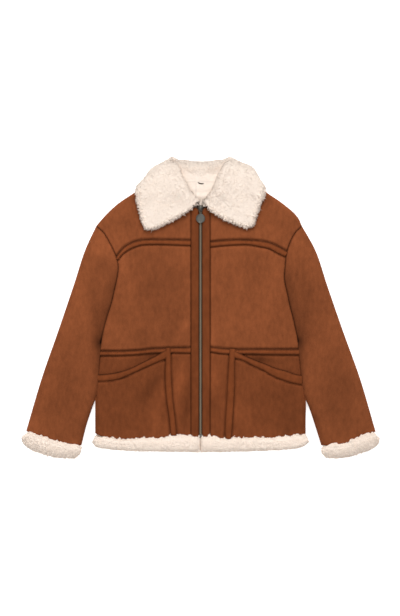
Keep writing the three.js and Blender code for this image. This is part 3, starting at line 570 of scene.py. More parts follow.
SUEDE = suede("suede", (0.228, 0.065, 0.0225))
SUEDE_LOWER = suede("suede_lower", (0.182, 0.050, 0.0165))
SUEDE_STRIP = suede("suede_strip", (0.166, 0.044, 0.0135))
PILE = pile_finish("pile", (0.95, 0.82, 0.715))
GUNMETAL = metal_finish("gunmetal", (0.13, 0.125, 0.11), 0.42)
TEETH = metal_finish("gunmetal_teeth", (0.44, 0.36, 0.26), 0.45)
TAPE = woven_finish("tape", (0.040, 0.022, 0.013))
STITCH = suede("thread", (0.13, 0.040, 0.016))
FINISH = {"suede": SUEDE, "suede_lower": SUEDE_LOWER, "suede_strip": SUEDE_STRIP, "pile": PILE}


# ------------------------------------------------------------------ suede panels and strips
def cut_size(xy, own_line):
    """The sides, in millimetres, of the cloth that a flat outline is cut from: along the coat's width
    and length, or on the piece's own line, which is the smallest rectangle that holds it, turned by
    whole degrees, with its short side first."""
    turns = np.radians(np.arange(90 if own_line else 1))
    points = xy.reshape(-1, 2)
    across = np.ptp(points @ np.array([np.cos(turns), np.sin(turns)]), axis=0)
    along = np.ptp(points @ np.array([-np.sin(turns), np.cos(turns)]), axis=0)
    least = (across * along).argmin()
    sides = [float(across[least]), float(along[least])]
    return sorted(sides) if own_line else sides


def declare(xy, own_line=False, tube_side=None):
    """Works out a piece's size as cloth and the area of its outline in plan, and does nothing more with them.
    A tube that lies flat shows half its cut, so the side that goes round it, 0 or 1, and its area count twice."""
    sides, layers = cut_size(xy, own_line), 1 if tube_side is None else 2
    if tube_side is not None:
        sides[tube_side] *= layers
    width, length = (side * MM for side in sides)
    plan_area(xy) * layers * MM * MM


def panel(name, edges, slot, level, rolls, thickness=WALL, dark=(1, 1, 1, 1), grooves=(),
          coarse=3.4, fine=0.8, band=18.0, light=0.0):
    """One piece of suede between four lines in plan: bottom, top, start and end. Its top is level(x, y)
    and the cloth's relief, less depth times round_over(distance / radius) at each edge, by rolls, and
    less a narrow trough along each groove, where a strip's edge is sewn down on it. dark says how much
    painted shade each edge gets, with a painted highlight a little way in, and the second value of a
    groove how much painted shade it gets, with a painted highlight beside it. Beside the collar's edge
    the cloth gets a painted shadow. light is a painted highlight: how much lighter the middle of a
    strip is. Its grid is fine steps apart at its edges and coarse ones a band further in."""
    bottom, top, start, end = edges
    us = shares_for(max(length_of(bottom), length_of(top)), coarse, fine, band)
    vs = shares_for(max(length_of(start), length_of(end)), coarse, fine, band)
    xy = patch(bottom, top, start, end, us, vs)
    x, y = xy[..., 0], xy[..., 1]
    high = level(x, y) + cloth_relief(x, y)
    # Painted shadow on the cloth beside the collar's lower edge.
    to_collar = np.minimum(*(reach(xy, edge) for edge in collar_edges))
    shade = nap_and_painted_shade(x, y) * (1 - 0.42 * bell(to_collar, 3.2))
    shade = shade + light * ease((np.minimum(reach(xy, bottom), reach(xy, top)) - 0.8) / 2.4)
    low = level(x, y) - thickness
    for edge, (radius, depth), dark_share in zip(edges, rolls, dark):
        away = reach(xy, edge)
        high = high - depth * round_over(away / radius)
        shade = shade * (1 - 0.58 * dark_share * bell(away, 1.4)) \
            + 0.05 * dark_share * bell(away - 4.5, 2.2)
    for line, dark_share in grooves:
        away = reach(xy, line)
        high = high - 1.9 * bell(away, 1.4)
        shade = shade * (1 - 0.50 * dark_share * bell(away, 1.25)) + 0.05 * bell(away - 4, 2)
    low = np.minimum(low, high - 1.0)
    points, faces = walled(np.dstack([x, y, high]), np.dstack([x, y, low]))
    both = [shade, shade] if is_anticlockwise(xy) else [shade[:, ::-1], shade[:, ::-1]]
    piece = make_piece(name, points, faces, FINISH[slot],
                       shade=np.concatenate([s.ravel() for s in both]), replaced=(name,))
    declare(xy, own_line=slot == "suede_strip")
    return piece


def strip_edges(rows, begin, stop, more=0.0):
    """The two long edges of a strip, half its width to each side of its middle line, and its ends.
    more widens it."""
    line = curve([(x, y, w + more) for x, y, w in rows])
    i, j = (int(np.linalg.norm(line[:, :2] - p, axis=1).argmin()) for p in (begin, stop))
    line = even(line[i:j + 1], 160)
    way = np.gradient(line[:, :2], axis=0)
    way /= np.linalg.norm(way, axis=1)[:, None]
    side = np.stack([-way[:, 1], way[:, 0]], 1) * line[:, 2:3] / 2
    one, other = line[:, :2] - side, line[:, :2] + side
    ends = [np.linspace(a, b, 20) for a, b in ((one[0], other[0]), (one[-1], other[-1]))]
    return one, other, ends[0], ends[1]


def emphasis(edges):
    """How much painted shade each long edge of a strip gets: the upper one more, as it lies under the panel's
    roll.
    """
    higher = edges[0][:, 1].mean() - edges[1][:, 1].mean()
    return (0.55, 0.55) if abs(higher) < 3 else (1.3, 0.6) if higher > 0 else (0.6, 1.3)


def beside(*strip):
    """The lines just outside a strip's long edges, with how much painted shade each gets."""
    edges = strip_edges(*strip, 1.5)[:2]
    return list(zip(edges, emphasis(edges)))


def straight(a, b, count=60):
    return np.linspace(np.asarray(a, float), np.asarray(b, float), count)


hem_line = curve(HEM_LINE)
collar_edges = [curve([(x * SIGN[n], y) for x, y in [COLLAR[n][0][2:4], COLLAR[n][0][4:6]]
                       + [row[6:8] for row in COLLAR[n][:5]]]) for n in SIDES]
stitch_runs = []
for side in SIDES:
    s = SIGN[side]
    outer = curve(ARMHOLE[side] + SIDE[side])
    yoke, waist = (curve([(x, y) for x, y, w in rows[side]]) for rows in (YOKE_SEAM, WAIST_SEAM))
    down, mouth = (curve([(x, y) for x, y, w in rows[side]]) for rows in (POCKET_SEAM, POCKET_MOUTH))
    yoke = np.vstack([yoke[:1] - [[s * 3, 0]], yoke, yoke[-1:] + (yoke[-1:] - yoke[-12:-11]) * 1.2])
    edge = straight((s * PLACKET_OUTER, -236), (s * PLACKET_OUTER, 176))
    neck = cut(curve(NECK_EDGE) * [s, 1], np.array([s * PLACKET_OUTER, 176.7]), np.array([s * 65.0, 240]))
    shoulder = curve([(x * s, y) for x, y in SHOULDER_EDGE] + [ARMHOLE[side][0]])
    neck_and_shoulder = even(np.vstack([neck, shoulder[1:]]), 300)

    yoke_in, waist_in, hem_in = (crossing(line, edge) for line in (yoke, waist, hem_line))
    yoke_out, waist_out = crossing(yoke, outer), crossing(waist, outer)
    mouth_out, hem_out = crossing(mouth, outer), crossing(hem_line, outer)
    hem_down, waist_down = crossing(hem_line, down), crossing(waist, down)
    mouth_in = mouth[0]

    welt_rows = [(x, y - w / 2, w) for x, y, w in POCKET_MOUTH[side]]
    strip_runs = {
        "yoke_strip": (YOKE_SEAM[side], yoke_in, yoke_out),
        "waist_strip": (WAIST_SEAM[side], waist_in, waist_out),
        "pocket_strip": (POCKET_SEAM[side], waist_down + [0, 5], hem_down + [0, 2.5]),
        "pocket_welt": (welt_rows, np.array(welt_rows[0][:2]), mouth_out - [0, welt_rows[-1][2] / 2]),
    }
    strips = {name: strip_edges(*run) for name, run in strip_runs.items()}
    by_yoke, by_waist, by_pocket, by_welt = (beside(*run) for run in strip_runs.values())

    seam, open_edge, hemmed = (9.0, 3.6), (10.0, 5.2), (4.0, 0.8)
    armhole_roll, side_roll, placket_seam = (6.5, 2.6), (9.0, 2.6), (3.6, 1.5)
    panel(f"front_yoke_{side}", (cut(yoke, yoke_in, yoke_out), neck_and_shoulder,
                                 cut(edge, yoke_in, neck[0]), cut(outer, yoke_out, outer[0])),
          "suede", plain_top, (seam, open_edge, placket_seam, armhole_roll), dark=(0, 0, 0.55, 0.85),
          grooves=by_yoke)
    panel(f"front_chest_{side}", (cut(waist, waist_in, waist_out), cut(yoke, yoke_in, yoke_out),
                                  cut(edge, waist_in, yoke_in), cut(outer, waist_out, yoke_out)),
          "suede", plain_top, (seam, seam, placket_seam, armhole_roll), dark=(0, 0, 0.55, 0.45),
          grooves=[*by_yoke, *by_waist])
    panel(f"front_lower_{side}", (cut(hem_line, hem_in, hem_down), cut(waist, waist_in, waist_down),
                                  cut(edge, hem_in, waist_in), cut(down, hem_down, waist_down)),
          "suede_lower", plain_top, (hemmed, seam, placket_seam, seam), dark=(0.4, 0, 0.6, 0),
          grooves=[*by_waist, *by_pocket])
    panel(f"pocket_panel_{side}", (cut(hem_line, hem_down, hem_out), cut(mouth, mouth_in, mouth_out),
                                   cut(down, hem_down, mouth_in), cut(outer, hem_out, mouth_out)),
          "suede_lower", plain_top, (hemmed, seam, seam, side_roll), dark=(0.4, 0, 0, 0.3),
          grooves=[*by_welt, *by_pocket])

    tucked = cut(mouth, mouth_in, mouth_out) - [0, 5]
    panel(f"pocket_facing_{side}", (tucked, cut(waist, mouth_in + [0, 0.5], waist_out),
                                    straight(tucked[0], mouth_in + [0, 0.5]),
                                    cut(outer, tucked[-1], waist_out)),
          "suede_lower", lambda x, y: plain_top(x, y) - 1.4, ((13, 3.2), (8, 1.6), (2, 0.3), side_roll),
          thickness=3.2, dark=(0, 0, 0, 0.6), grooves=by_waist)

    # Each strip: its name, how far it stands up, the radius of its long edges' roll, and how strong a painted
    # highlight lies along its middle.
    for name, up, half, light in (("yoke_strip", 1.0, 4.4, 0.20), ("waist_strip", 1.0, 4.6, 0.20),
                                  ("pocket_strip", 2.7, 5.0, 0.10), ("pocket_welt", 2.2, 5.6, 0.10)):
        panel(f"{name}_{side}", strips[name], "suede_strip", lambda x, y, up=up: plain_top(x, y) + up,
              ((half, 2.2), (half, 2.2), (2.0, 1.0), (2.0, 1.0)), thickness=2.2,
              dark=(*emphasis(strips[name]), 0.5, 0.2), coarse=2.0, fine=0.6, band=4.0, light=light)
    inner = straight((s * PLACKET_INNER, -228), (s * PLACKET_INNER, 175.6), 200)
    panel(f"placket_{side}", (straight(inner[0], hem_in), straight(inner[-1], (s * PLACKET_OUTER, 176.6)),
                              inner, cut(edge, hem_in, np.array([s * PLACKET_OUTER, 176.6]))),
          "suede_strip", lambda x, y: plain_top(x, y) + 0.4,
          ((3, 0.8), (3, 2.0), (3.2, 2.2), (3.4, 1.9)), dark=(0.4, 0.2, 0.6, 0.6), coarse=2.2, fine=0.6,
          band=5.0)
    for name, inset in (("yoke_strip", 1.9), ("waist_strip", 1.9), ("pocket_strip", 2.0)):
        stitch_runs += [(strips[name][0], inset), (strips[name][1], -inset)]

# ------------------------------------------------------------------ the back, flat where it rests
outlines = {}
for side in SIDES:
    outer = curve(ARMHOLE[side] + SIDE[side])
    foot = crossing(hem_line, outer)
    outlines[side] = (foot, cut(outer, foot, outer[0], 300))
neck_back = curve(BACK_NECK)
over = [np.vstack([curve([(x * k, y) for x, y in SHOULDER_EDGE] + [ARMHOLE[n][0]])[::-1][:-1],
                   (neck_back * [k, 1])[::-1]]) for n, k in SIGN.items()]
back_edges = (cut(hem_line, outlines["left"][0], outlines["right"][0], 300),
              even(np.vstack([over[0], over[1][::-1][1:]]), 500), outlines["left"][1], outlines["right"][1])
back_xy = patch(*back_edges, shares_for(366, 5.0, 1.0, 14), shares_for(470, 5.0, 1.0, 14))
bx, by = back_xy[..., 0], back_xy[..., 1]
back_rim = np.minimum.reduce([reach(back_xy, e, 200) for e in back_edges])
back_under = back_low(bx, by) + 2.6 * round_over(back_rim / 8) + 0.35 * ease(back_rim / 30) * (
    1 + np.clip(ripples(bx, by, 70, 31) + creases(bx, by) * 0.4, -1, 1))
back_over = back_low(bx, by) + WALL - 0.8 * round_over(back_rim / 4)
points, faces = walled(np.dstack([bx, by, back_over]), np.dstack([bx, by, back_under]))
back = make_piece("back", points, faces, SUEDE, shade=np.tile(nap_and_painted_shade(bx, by).ravel(), 2),
                  replaced=("back",))
declare(back_xy)


# ------------------------------------------------------------------ sleeves
def torus(rows_of_points, name, finish, shade, replaced):
    """A surface closed both ways: rings of points joined to the next ring, and the last to the first."""
    rows, columns = rows_of_points.shape[:2]
    at = np.arange(rows * columns).reshape(rows, columns)
    a, b = at, np.roll(at, -1, 1)
    faces = np.stack([a, b, np.roll(b, -1, 0), np.roll(a, -1, 0)], -1).reshape(-1, 4)
    if volume(rows_of_points.reshape(-1, 3), faces) < 0:
        faces = faces[:, ::-1]
    return make_piece(name, rows_of_points.reshape(-1, 3), [faces], finish, shade=shade,
                      replaced=replaced)


def volume(points, quads):
    """Six times the signed volume within closed quads: the sum of a · (b × c) over their triangles."""
    a, b, c, d = (points[quads[:, k]] for k in range(4))
    return float((a * np.cross(b, c)).sum() + (a * np.cross(c, d)).sum())


def loop_of(xy, high, low):
    """Rings round a flattened tube: over the top from the first column to the last, and back below."""
    top, under = np.dstack([xy, high]), np.dstack([xy, low])
    return np.concatenate([top, under[:, -2:0:-1]], axis=1)


SLEEVE_MIDDLE = 6.45  # height of the plane between a sleeve's upper and lower cloth


def sleeve(side):
    """A tube pressed flat, rounded over 15 mm at its edges above and 7 mm below, with a wall inside
    it; it dips where it is sewn to the armhole."""
    armhole = curve(ARMHOLE[side])
    lines = (armhole, curve(CUFF_LINE[side]), curve(SLEEVE_OUTER[side]), curve(SLEEVE_INNER[side]))
    us, vs = shares_for(120, 3.6, 0.9, 16), shares_for(300, 4.0, 0.8, 16)
    xy = patch(*lines, us, vs)
    x, y = xy[..., 0], xy[..., 1]
    width = np.linalg.norm(np.diff(xy, axis=1), axis=2).sum(1)[:, None]
    away = np.minimum(us, 1 - us)[None] * np.minimum(width, 130)
    to_armhole, to_cuff = reach(xy, armhole), reach(xy, lines[1])
    middle = SLEEVE_MIDDLE
    crown = 2.2 * np.sin(np.pi * us)[None]
    over = quarter(away / 15)
    under = quarter(away / 7)
    relief = (cloth_relief(x, y) - 3.4 * round_over(to_armhole / 9)
              + 0.5 * ripples(x, y, 40, 41) * np.exp(-to_cuff / 40))
    high = middle + over * (middle + crown + relief - 0.8 * round_over(to_cuff / 4))
    low = middle - under * (middle - 0.5 * (1 + np.clip(ripples(x, y, 60, 42), -1, 1)) * ease(away / 20))
    outside = loop_of(xy, high, low)
    inset = (us * (1 - 12.6 / 90) + 6.3 / 90)
    within = patch(*lines, inset, vs)
    inside = loop_of(within, np.maximum(high - WALL, middle + 0.15), np.minimum(low + WALL, middle - 0.15))
    inner_edge, outer_edge = reach(xy, lines[3]), reach(xy, lines[2])
    # Painted shade: a dark line in the armhole seam, a broad painted shadow beside the armhole where the sleeve
    # goes under the body, darker at the cuff seam and along the inner edge; a painted highlight near the outer
    # edge.
    shade = nap_and_painted_shade(x, y) * (1 - (0.45 - 0.15 * ease((70 - y) / 40)) * bell(to_armhole, 1.6)) \
        - 0.34 * bell(to_armhole, 13) * ease((100 - y) / 60) - 0.12 * bell(to_cuff, 3) \
        - (0.18 + 0.14 * ease((y + 150) / 40)) * bell(inner_edge, 9) + 0.07 * bell(outer_edge - 14, 10)
    shade = np.concatenate([shade, shade[:, -2:0:-1]], axis=1)
    piece = torus(np.concatenate([outside, inside[::-1]]), f"sleeve_{side}", SUEDE,
                  np.concatenate([shade, shade[::-1]]), (f"sleeve_{side}",))
    declare(xy, own_line=True, tube_side=0)
    return piece


for side in SIDES:
    sleeve(side)


# ------------------------------------------------------------------ pile
def normals_of(points, around=False):
    """The unit normal at each point of a grid: along the rows crossed with along the columns."""
    if around:
        across = np.roll(points, -1, 1) - np.roll(points, 1, 1)
        along = np.roll(points, -1, 0) - np.roll(points, 1, 0)
    else:
        across, along = np.gradient(points, axis=1), np.gradient(points, axis=0)
    n = np.cross(across, along)
    return n / (np.linalg.norm(n, axis=2, keepdims=True) + 1e-9)


def upward(points):
    """The unit normals of a grid, turned so that the middle one points up."""
    normal = normals_of(points)
    rows, columns = points.shape[:2]
    return normal * np.sign(normal[rows // 2, columns // 2, 2])


def fleece(points, normal, a, b, key, deep=1.0, mottle=0.0):
    """Moves a surface out along its normals by waves of 26 mm and curls of 4.6 and 2.4 mm, worked out
    on its own two lengths a and b. It also gives how light each point is, a random mottle of curls of
    5.2 mm; mottle makes those differ more."""
    lumps = (0.28 * ripples(a, b, 26, key) + 0.75 * (curls(a, b, 4.6, key + 1) - 0.5)
             + 0.4 * (curls(a, b, 2.4, key + 2) - 0.5))
    tone_and_shade = 0.985 + (0.05 + mottle) * (curls(a, b, 5.2, key + 1) - 0.5)
    return points + (deep * lumps)[..., None] * normal, tone_and_shade


def tufts(name, points, normal, comb, count, length, width, key, rise=0.55, weight=None, spread=0.6,
          tones_and_shade=None):
    """Small curved locks of pile scattered over a grid surface. Each leaves it at a random place, runs
    along comb (turned at random about the normal) and curls over: its spine at share s is
    L(0.85 s comb + (rise s - 0.45 s²) normal), with three sides that taper to a tip."""
    draw = np.random.default_rng(key)
    p00, p01, p10 = points[:-1, :-1], points[:-1, 1:], points[1:, :-1]
    area = np.linalg.norm(np.cross(p01 - p00, p10 - p00), axis=2)
    chance = area if weight is None else area * weight[:-1, :-1]
    total = np.cumsum(chance.ravel())
    cell = np.searchsorted(total, draw.random(count) * total[-1]).clip(0, len(total) - 1)
    i, j = np.unravel_index(cell, area.shape)
    fu, fv = draw.random((2, count, 1))
    base = p00[i, j] + fu * (p01[i, j] - p00[i, j]) + fv * (p10[i, j] - p00[i, j])
    n, c = normal[i, j], comb[i, j]
    c = c - (c * n).sum(1)[:, None] * n
    c /= np.linalg.norm(c, axis=1)[:, None] + 1e-9
    w = np.cross(n, c)
    turn = draw.normal(0, spread, (count, 1))
    c, w = c * np.cos(turn) + w * np.sin(turn), w * np.cos(turn) - c * np.sin(turn)
    long = length * draw.uniform(0.6, 1.35, (count, 1))
    wide = width * draw.uniform(0.7, 1.3, (count, 1))
    bend = draw.normal(0, 0.35, (count, 1))
    share = np.array([0.0, 0.4, 0.75, 1.0])
    taper = np.array([1.0, 0.95, 0.6])
    spine = [base - 0.4 * n + long * (0.85 * t * c + (rise * t - 0.45 * t * t) * n + bend * t * t * w)
             for t in share]
    rings = [spine[k] + wide * taper[k] * (math.cos(q) * w + 0.7 * math.sin(q) * n)
             for k in range(3) for q in (math.pi / 2, math.pi * 7 / 6, math.pi * 11 / 6)]
    cloud = np.stack(rings + [spine[3]], 1)
    first = (np.arange(count) * 10)[:, None, None]
    quads = np.array([[3 * k + m, 3 * k + (m + 1) % 3, 3 * k + 3 + (m + 1) % 3, 3 * k + 3 + m]
                      for k in range(2) for m in range(3)])
    ends = np.array([[6, 7, 9], [7, 8, 9], [8, 6, 9], [2, 1, 0]])
    faces = [(first + quads[None]).reshape(-1, 4), (first + ends[None]).reshape(-1, 3)]
    # Painted shade: each lock is darker at its root and lighter towards its tip, and its tone varies at random;
    # the tone and painted shade of the pile under it are multiplied in.
    lock_tone_and_shade = draw.normal(1.0, 0.025, (count, 1)) * np.array([0.94] * 3 + [0.985] * 3 + [1.01] * 3 + [1.02])[None]
    if tones_and_shade is not None:
        lock_tone_and_shade = lock_tone_and_shade * tones_and_shade[i, j][:, None]
    return make_piece(name, cloud.reshape(-1, 3), faces, PILE, shade=lock_tone_and_shade.ravel())


def cushion(name, front, back, tone_and_shade, replaced=()):
    """A piece of pile made of two grids that share their rim, as a cushion's two sides do."""
    rows, columns = front.shape[:2]
    inner = np.zeros((rows, columns), bool)
    inner[1:-1, 1:-1] = True
    at = np.arange(rows * columns).reshape(rows, columns)
    under = at.copy()
    under[inner] = rows * columns + np.arange(inner.sum())
    f = np.stack([at[:-1, :-1], at[:-1, 1:], at[1:, 1:], at[1:, :-1]], -1).reshape(-1, 4)
    b = np.stack([under[:-1, :-1], under[1:, :-1], under[1:, 1:], under[:-1, 1:]], -1).reshape(-1, 4)
    points = np.concatenate([front.reshape(-1, 3), back[inner]])
    faces = np.concatenate([f, b])
    return make_piece(name, points, [faces if volume(points, faces) > 0 else faces[:, ::-1]], PILE,
                      shade=np.concatenate([tone_and_shade.ravel(), tone_and_shade[inner]]), replaced=replaced)


def collar_middle(row, s):
    """The middle line of the collar's cloth at one section: foot, up the stand, over the roll, and
    down the fall to its edge. Share -1 lies under the back panel and share 1 on the fronts."""
    foot_x, foot_y, roll_x, roll_y, bulge_x, bulge_y, edge_x, edge_y, stand, fall = row
    foot, roll, bulge, edge = (np.array(p, float) for p in (
        (foot_x * s, foot_y), (roll_x * s, roll_y), (bulge_x * s, bulge_y), (edge_x * s, edge_y)))
    half = 2.7
    stand_high = plain_top(foot[0], foot[1]) - 3 + 4.5 * float(ease((16 - foot_x) / 14))
    stand_z = 9.6 + (stand_high - 9.6) * (stand + 1) / 2

    def fall_z(p):
        return half + (plain_top(p[0], p[1]) + 0.6) * (fall + 1) / 2

    def short(p, q):
        return p + (q - p) * min(0.45, (half + 1.5) / np.linalg.norm(q - p))

    rise = 3.4 * min(1, np.linalg.norm(foot - roll) / 30)
    stand_top, fall_top = short(roll, foot), short(roll, bulge)
    back = 1 if stand < 0 else 0
    front = 1 if fall > 0 else 0
    turn_z = (stand_z + rise * (1 if back else 0.3) + fall_z(roll)) / 2
    on_fall, on_edge = fall_top + (bulge - fall_top) * 0.55, bulge + (edge - bulge) * 0.6
    line = [(foot, stand_z), ((foot + roll) / 2, stand_z + rise * 0.6 * back),
            (stand_top, stand_z + rise * back), (roll, turn_z), (fall_top, fall_z(fall_top) + 0.8 * front),
            (on_fall, fall_z(on_fall) + 0.6 * front), (bulge, fall_z(bulge)), (on_edge, fall_z(on_edge)),
            (edge, fall_z(edge))]
    return curve([(*p, float(z)) for p, z in line], 109)


sections = np.array([collar_middle(row, -1) for row in COLLAR["left"]]
                    + [collar_middle(row, 1) for row in COLLAR["right"][-2::-1]])
rolls = curve([(-row[2], row[3]) for row in COLLAR["left"]]
              + [(row[2], row[3]) for row in COLLAR["right"][-2::-1]], 900)
COLLAR_RUN = 430  # nominal length round the neck, on which the pile and the grid are laid out
along = shares_for(COLLAR_RUN, 1.5, 0.7, 8)
collar_mid = np.stack([at_shares(curve(sections[:, k], 900), along) for k in range(sections.shape[1])], 1)
rows, columns = collar_mid.shape[:2]
section_length = np.linalg.norm(np.diff(collar_mid, axis=1), axis=2)
gone = np.concatenate([np.zeros((rows, 1)), np.cumsum(section_length, axis=1)], axis=1)
a_long = np.broadcast_to((along * COLLAR_RUN)[:, None], gone.shape)
to_ends = np.minimum(a_long, COLLAR_RUN - a_long)
to_rim = np.minimum.reduce([gone + 4, gone[:, -1:] - gone, to_ends])
half_thick = 3.7 * np.minimum(quarter(to_rim / 4.5),
                              quarter(to_ends / 3.0))
collar_normal = normals_of(collar_mid)
collar_normal *= np.sign((collar_normal[rows // 8, -20] * [0, 0, 1]).sum())
outside = collar_mid + half_thick[..., None] * collar_normal
within = collar_mid - (half_thick * 0.8)[..., None] * collar_normal
outside, tone_and_shade = fleece(outside, collar_normal, a_long, gone, 51, 0.6)
rim_fade = ease(to_rim / 3)[..., None]
within, _ = fleece(within, -collar_normal * rim_fade, a_long, gone, 55, 0.5)
roll_xy = at_shares(rolls, along)
rolled = np.linalg.norm(collar_mid[..., :2] - roll_xy[:, None], axis=2)[:, :columns * 6 // 10].argmin(1)
past_roll = gone - gone[np.arange(rows), rolled][:, None]
# Painted shade on the collar's pile: a little darker inside the roll, a painted shadow just inside the roll
# line, and darker where the pile faces up the coat, towards the key light, lighter where it faces down.
inside = 1 - ease((past_roll + 4) / 6)
tone_and_shade = tone_and_shade * (1 - 0.055 * inside - 0.09 * bell(past_roll + 5, 3.5) * ease(to_ends / 20)) \
    * (0.93 - 0.39 * collar_normal[..., 1])
collar = cushion("collar", outside, within, tone_and_shade, replaced=("collar",))
comb = np.gradient(collar_mid, axis=1)
comb = comb / np.linalg.norm(comb, axis=2, keepdims=True)
outwards = np.gradient(collar_mid, axis=0) * np.where(a_long < COLLAR_RUN / 2, -1.0, 1.0)[..., None]
outwards /= np.linalg.norm(outwards, axis=2, keepdims=True)
comb = comb * 0.9 + outwards * (1.6 * bell(to_ends, 7))[..., None] + [0, -0.35, 0]
far = normals_of(outside)
far *= np.sign(far[rows // 8, -20, 2])
off_table = collar_mid[..., 2] > 3.5
edge_weight = (bell(gone[:, -1:] - gone, 4.0) + 0.8 * bell(to_ends, 3.0) * ease((gone - 14) / 8)) * off_table
collar_tufts = [
    tufts("collar_pile", outside, far, comb, 10500, 3.6, 0.8, 61, rise=0.42, spread=0.75, tones_and_shade=tone_and_shade,
          weight=1.0 * (outside[..., 2] > 5)),
    tufts("collar_fringe", outside, collar_normal, comb, 2400, 5.4, 0.9, 62, rise=0.3,
          weight=edge_weight, spread=0.4, tones_and_shade=tone_and_shade * 1.02),
    tufts("collar_locks", outside, collar_normal, comb, 1000, 7.4, 1.5, 64, rise=0.34,
          weight=edge_weight, spread=0.45, tones_and_shade=tone_and_shade * 1.04),
    tufts("collar_under_fringe", within, collar_normal, comb, 1300, 6.0, 0.95, 63, rise=0.15,
          weight=edge_weight, spread=0.4, tones_and_shade=tone_and_shade)]


def trim_down(y):
    return np.clip((-228 - y) / 24, 0, 1)


def trim(name, xy, high, low, key, count, rim_tufts=700):
    """Pile rolled out along a hem: two cushioned sides that share a rim, lumpy, with locks on top."""
    rim = to_outline(xy, 120)
    middle = (high + low) / 2
    puff = quarter(rim / 6.5)
    top = np.dstack([xy, middle + (high - middle) * puff])
    under = np.dstack([xy, middle - (middle - low) * puff])
    a, b = xy[..., 0], xy[..., 1]
    up = upward(top)
    top, tone_and_shade = fleece(top, up, a, b, key, mottle=0.08)
    # Painted shade: darker where the pile faces up the coat, towards the key light, lighter where it faces
    # down.
    tone_and_shade = tone_and_shade * (1 - 0.14 * up[..., 1])
    piece = cushion(name, top, under, tone_and_shade, replaced=(name,))
    up = upward(top)
    down = np.zeros_like(top)
    down[..., 1] = np.where(np.linspace(0, 1, len(xy)) > 0.72, 1.0, -1.0)[:, None]
    locks = [tufts(f"{name}_pile", top, up, down, count, 3.4, 1.0, key + 5, rise=0.5),
             tufts(f"{name}_fringe", top, up, down, rim_tufts, 4.2, 0.8, key + 6, rise=0.4,
                   weight=bell(rim, 3.0), spread=0.5)]
    declare(xy)
    return piece


foot_line = curve(HEM_FOOT)
for side in SIDES:
    s = SIGN[side]
    top_line = cut(hem_line, np.array([s * 0.4, -226.0]), np.array([s * 184.5, -221.0]), 220)
    low_line = cut(foot_line, np.array([s * 1.0, -252.0]), np.array([s * 189.5, -234.0]), 220)
    along_hem = top_line[:, 0]
    uneven = 1.5 * ripples(along_hem, 0 * along_hem, 12, 71) + 0.9 * ripples(along_hem, 0 * along_hem, 5, 72)
    wave = (1.3 + uneven * ease(np.abs(along_hem) / 8)
            - 3.5 * ease((np.abs(along_hem) - 168) / 14))
    top_line = top_line + np.stack([0 * wave, wave], 1)
    ends = straight(low_line[0], top_line[0]), straight(low_line[-1], top_line[-1])
    xy = patch(low_line, top_line, *ends, shares_for(195, 1.5, 0.8, 6), shares_for(26, 1.3, 0.8, 5))
    y = xy[..., 1]
    low = WALL + GAP + 0.2 + 2.5 * trim_down(y) ** 3
    high = low + 3.0 + 9.0 * np.sqrt(1 - (1.6 * trim_down(y) - 0.7) ** 2)
    trim(f"hem_trim_front_{side}", xy, high, low, 81 + s, 3000)

top_line = cut(hem_line, np.array([-182.0, -220.5]), np.array([182.0, -221.0]), 300)
low_line = cut(foot_line, np.array([-186.0, -234.0]), np.array([186.0, -234.0]), 300)
xy = patch(low_line, top_line, straight(low_line[0], top_line[0]), straight(low_line[-1], top_line[-1]),
           shares_for(372, 2.2, 1.0, 6), shares_for(26, 1.8, 0.9, 5))
low = 2.6 * trim_down(xy[..., 1]) ** 3
trim("hem_trim_back", xy, low * 0 + WALL + 1.0, low, 91, 1300, 500)


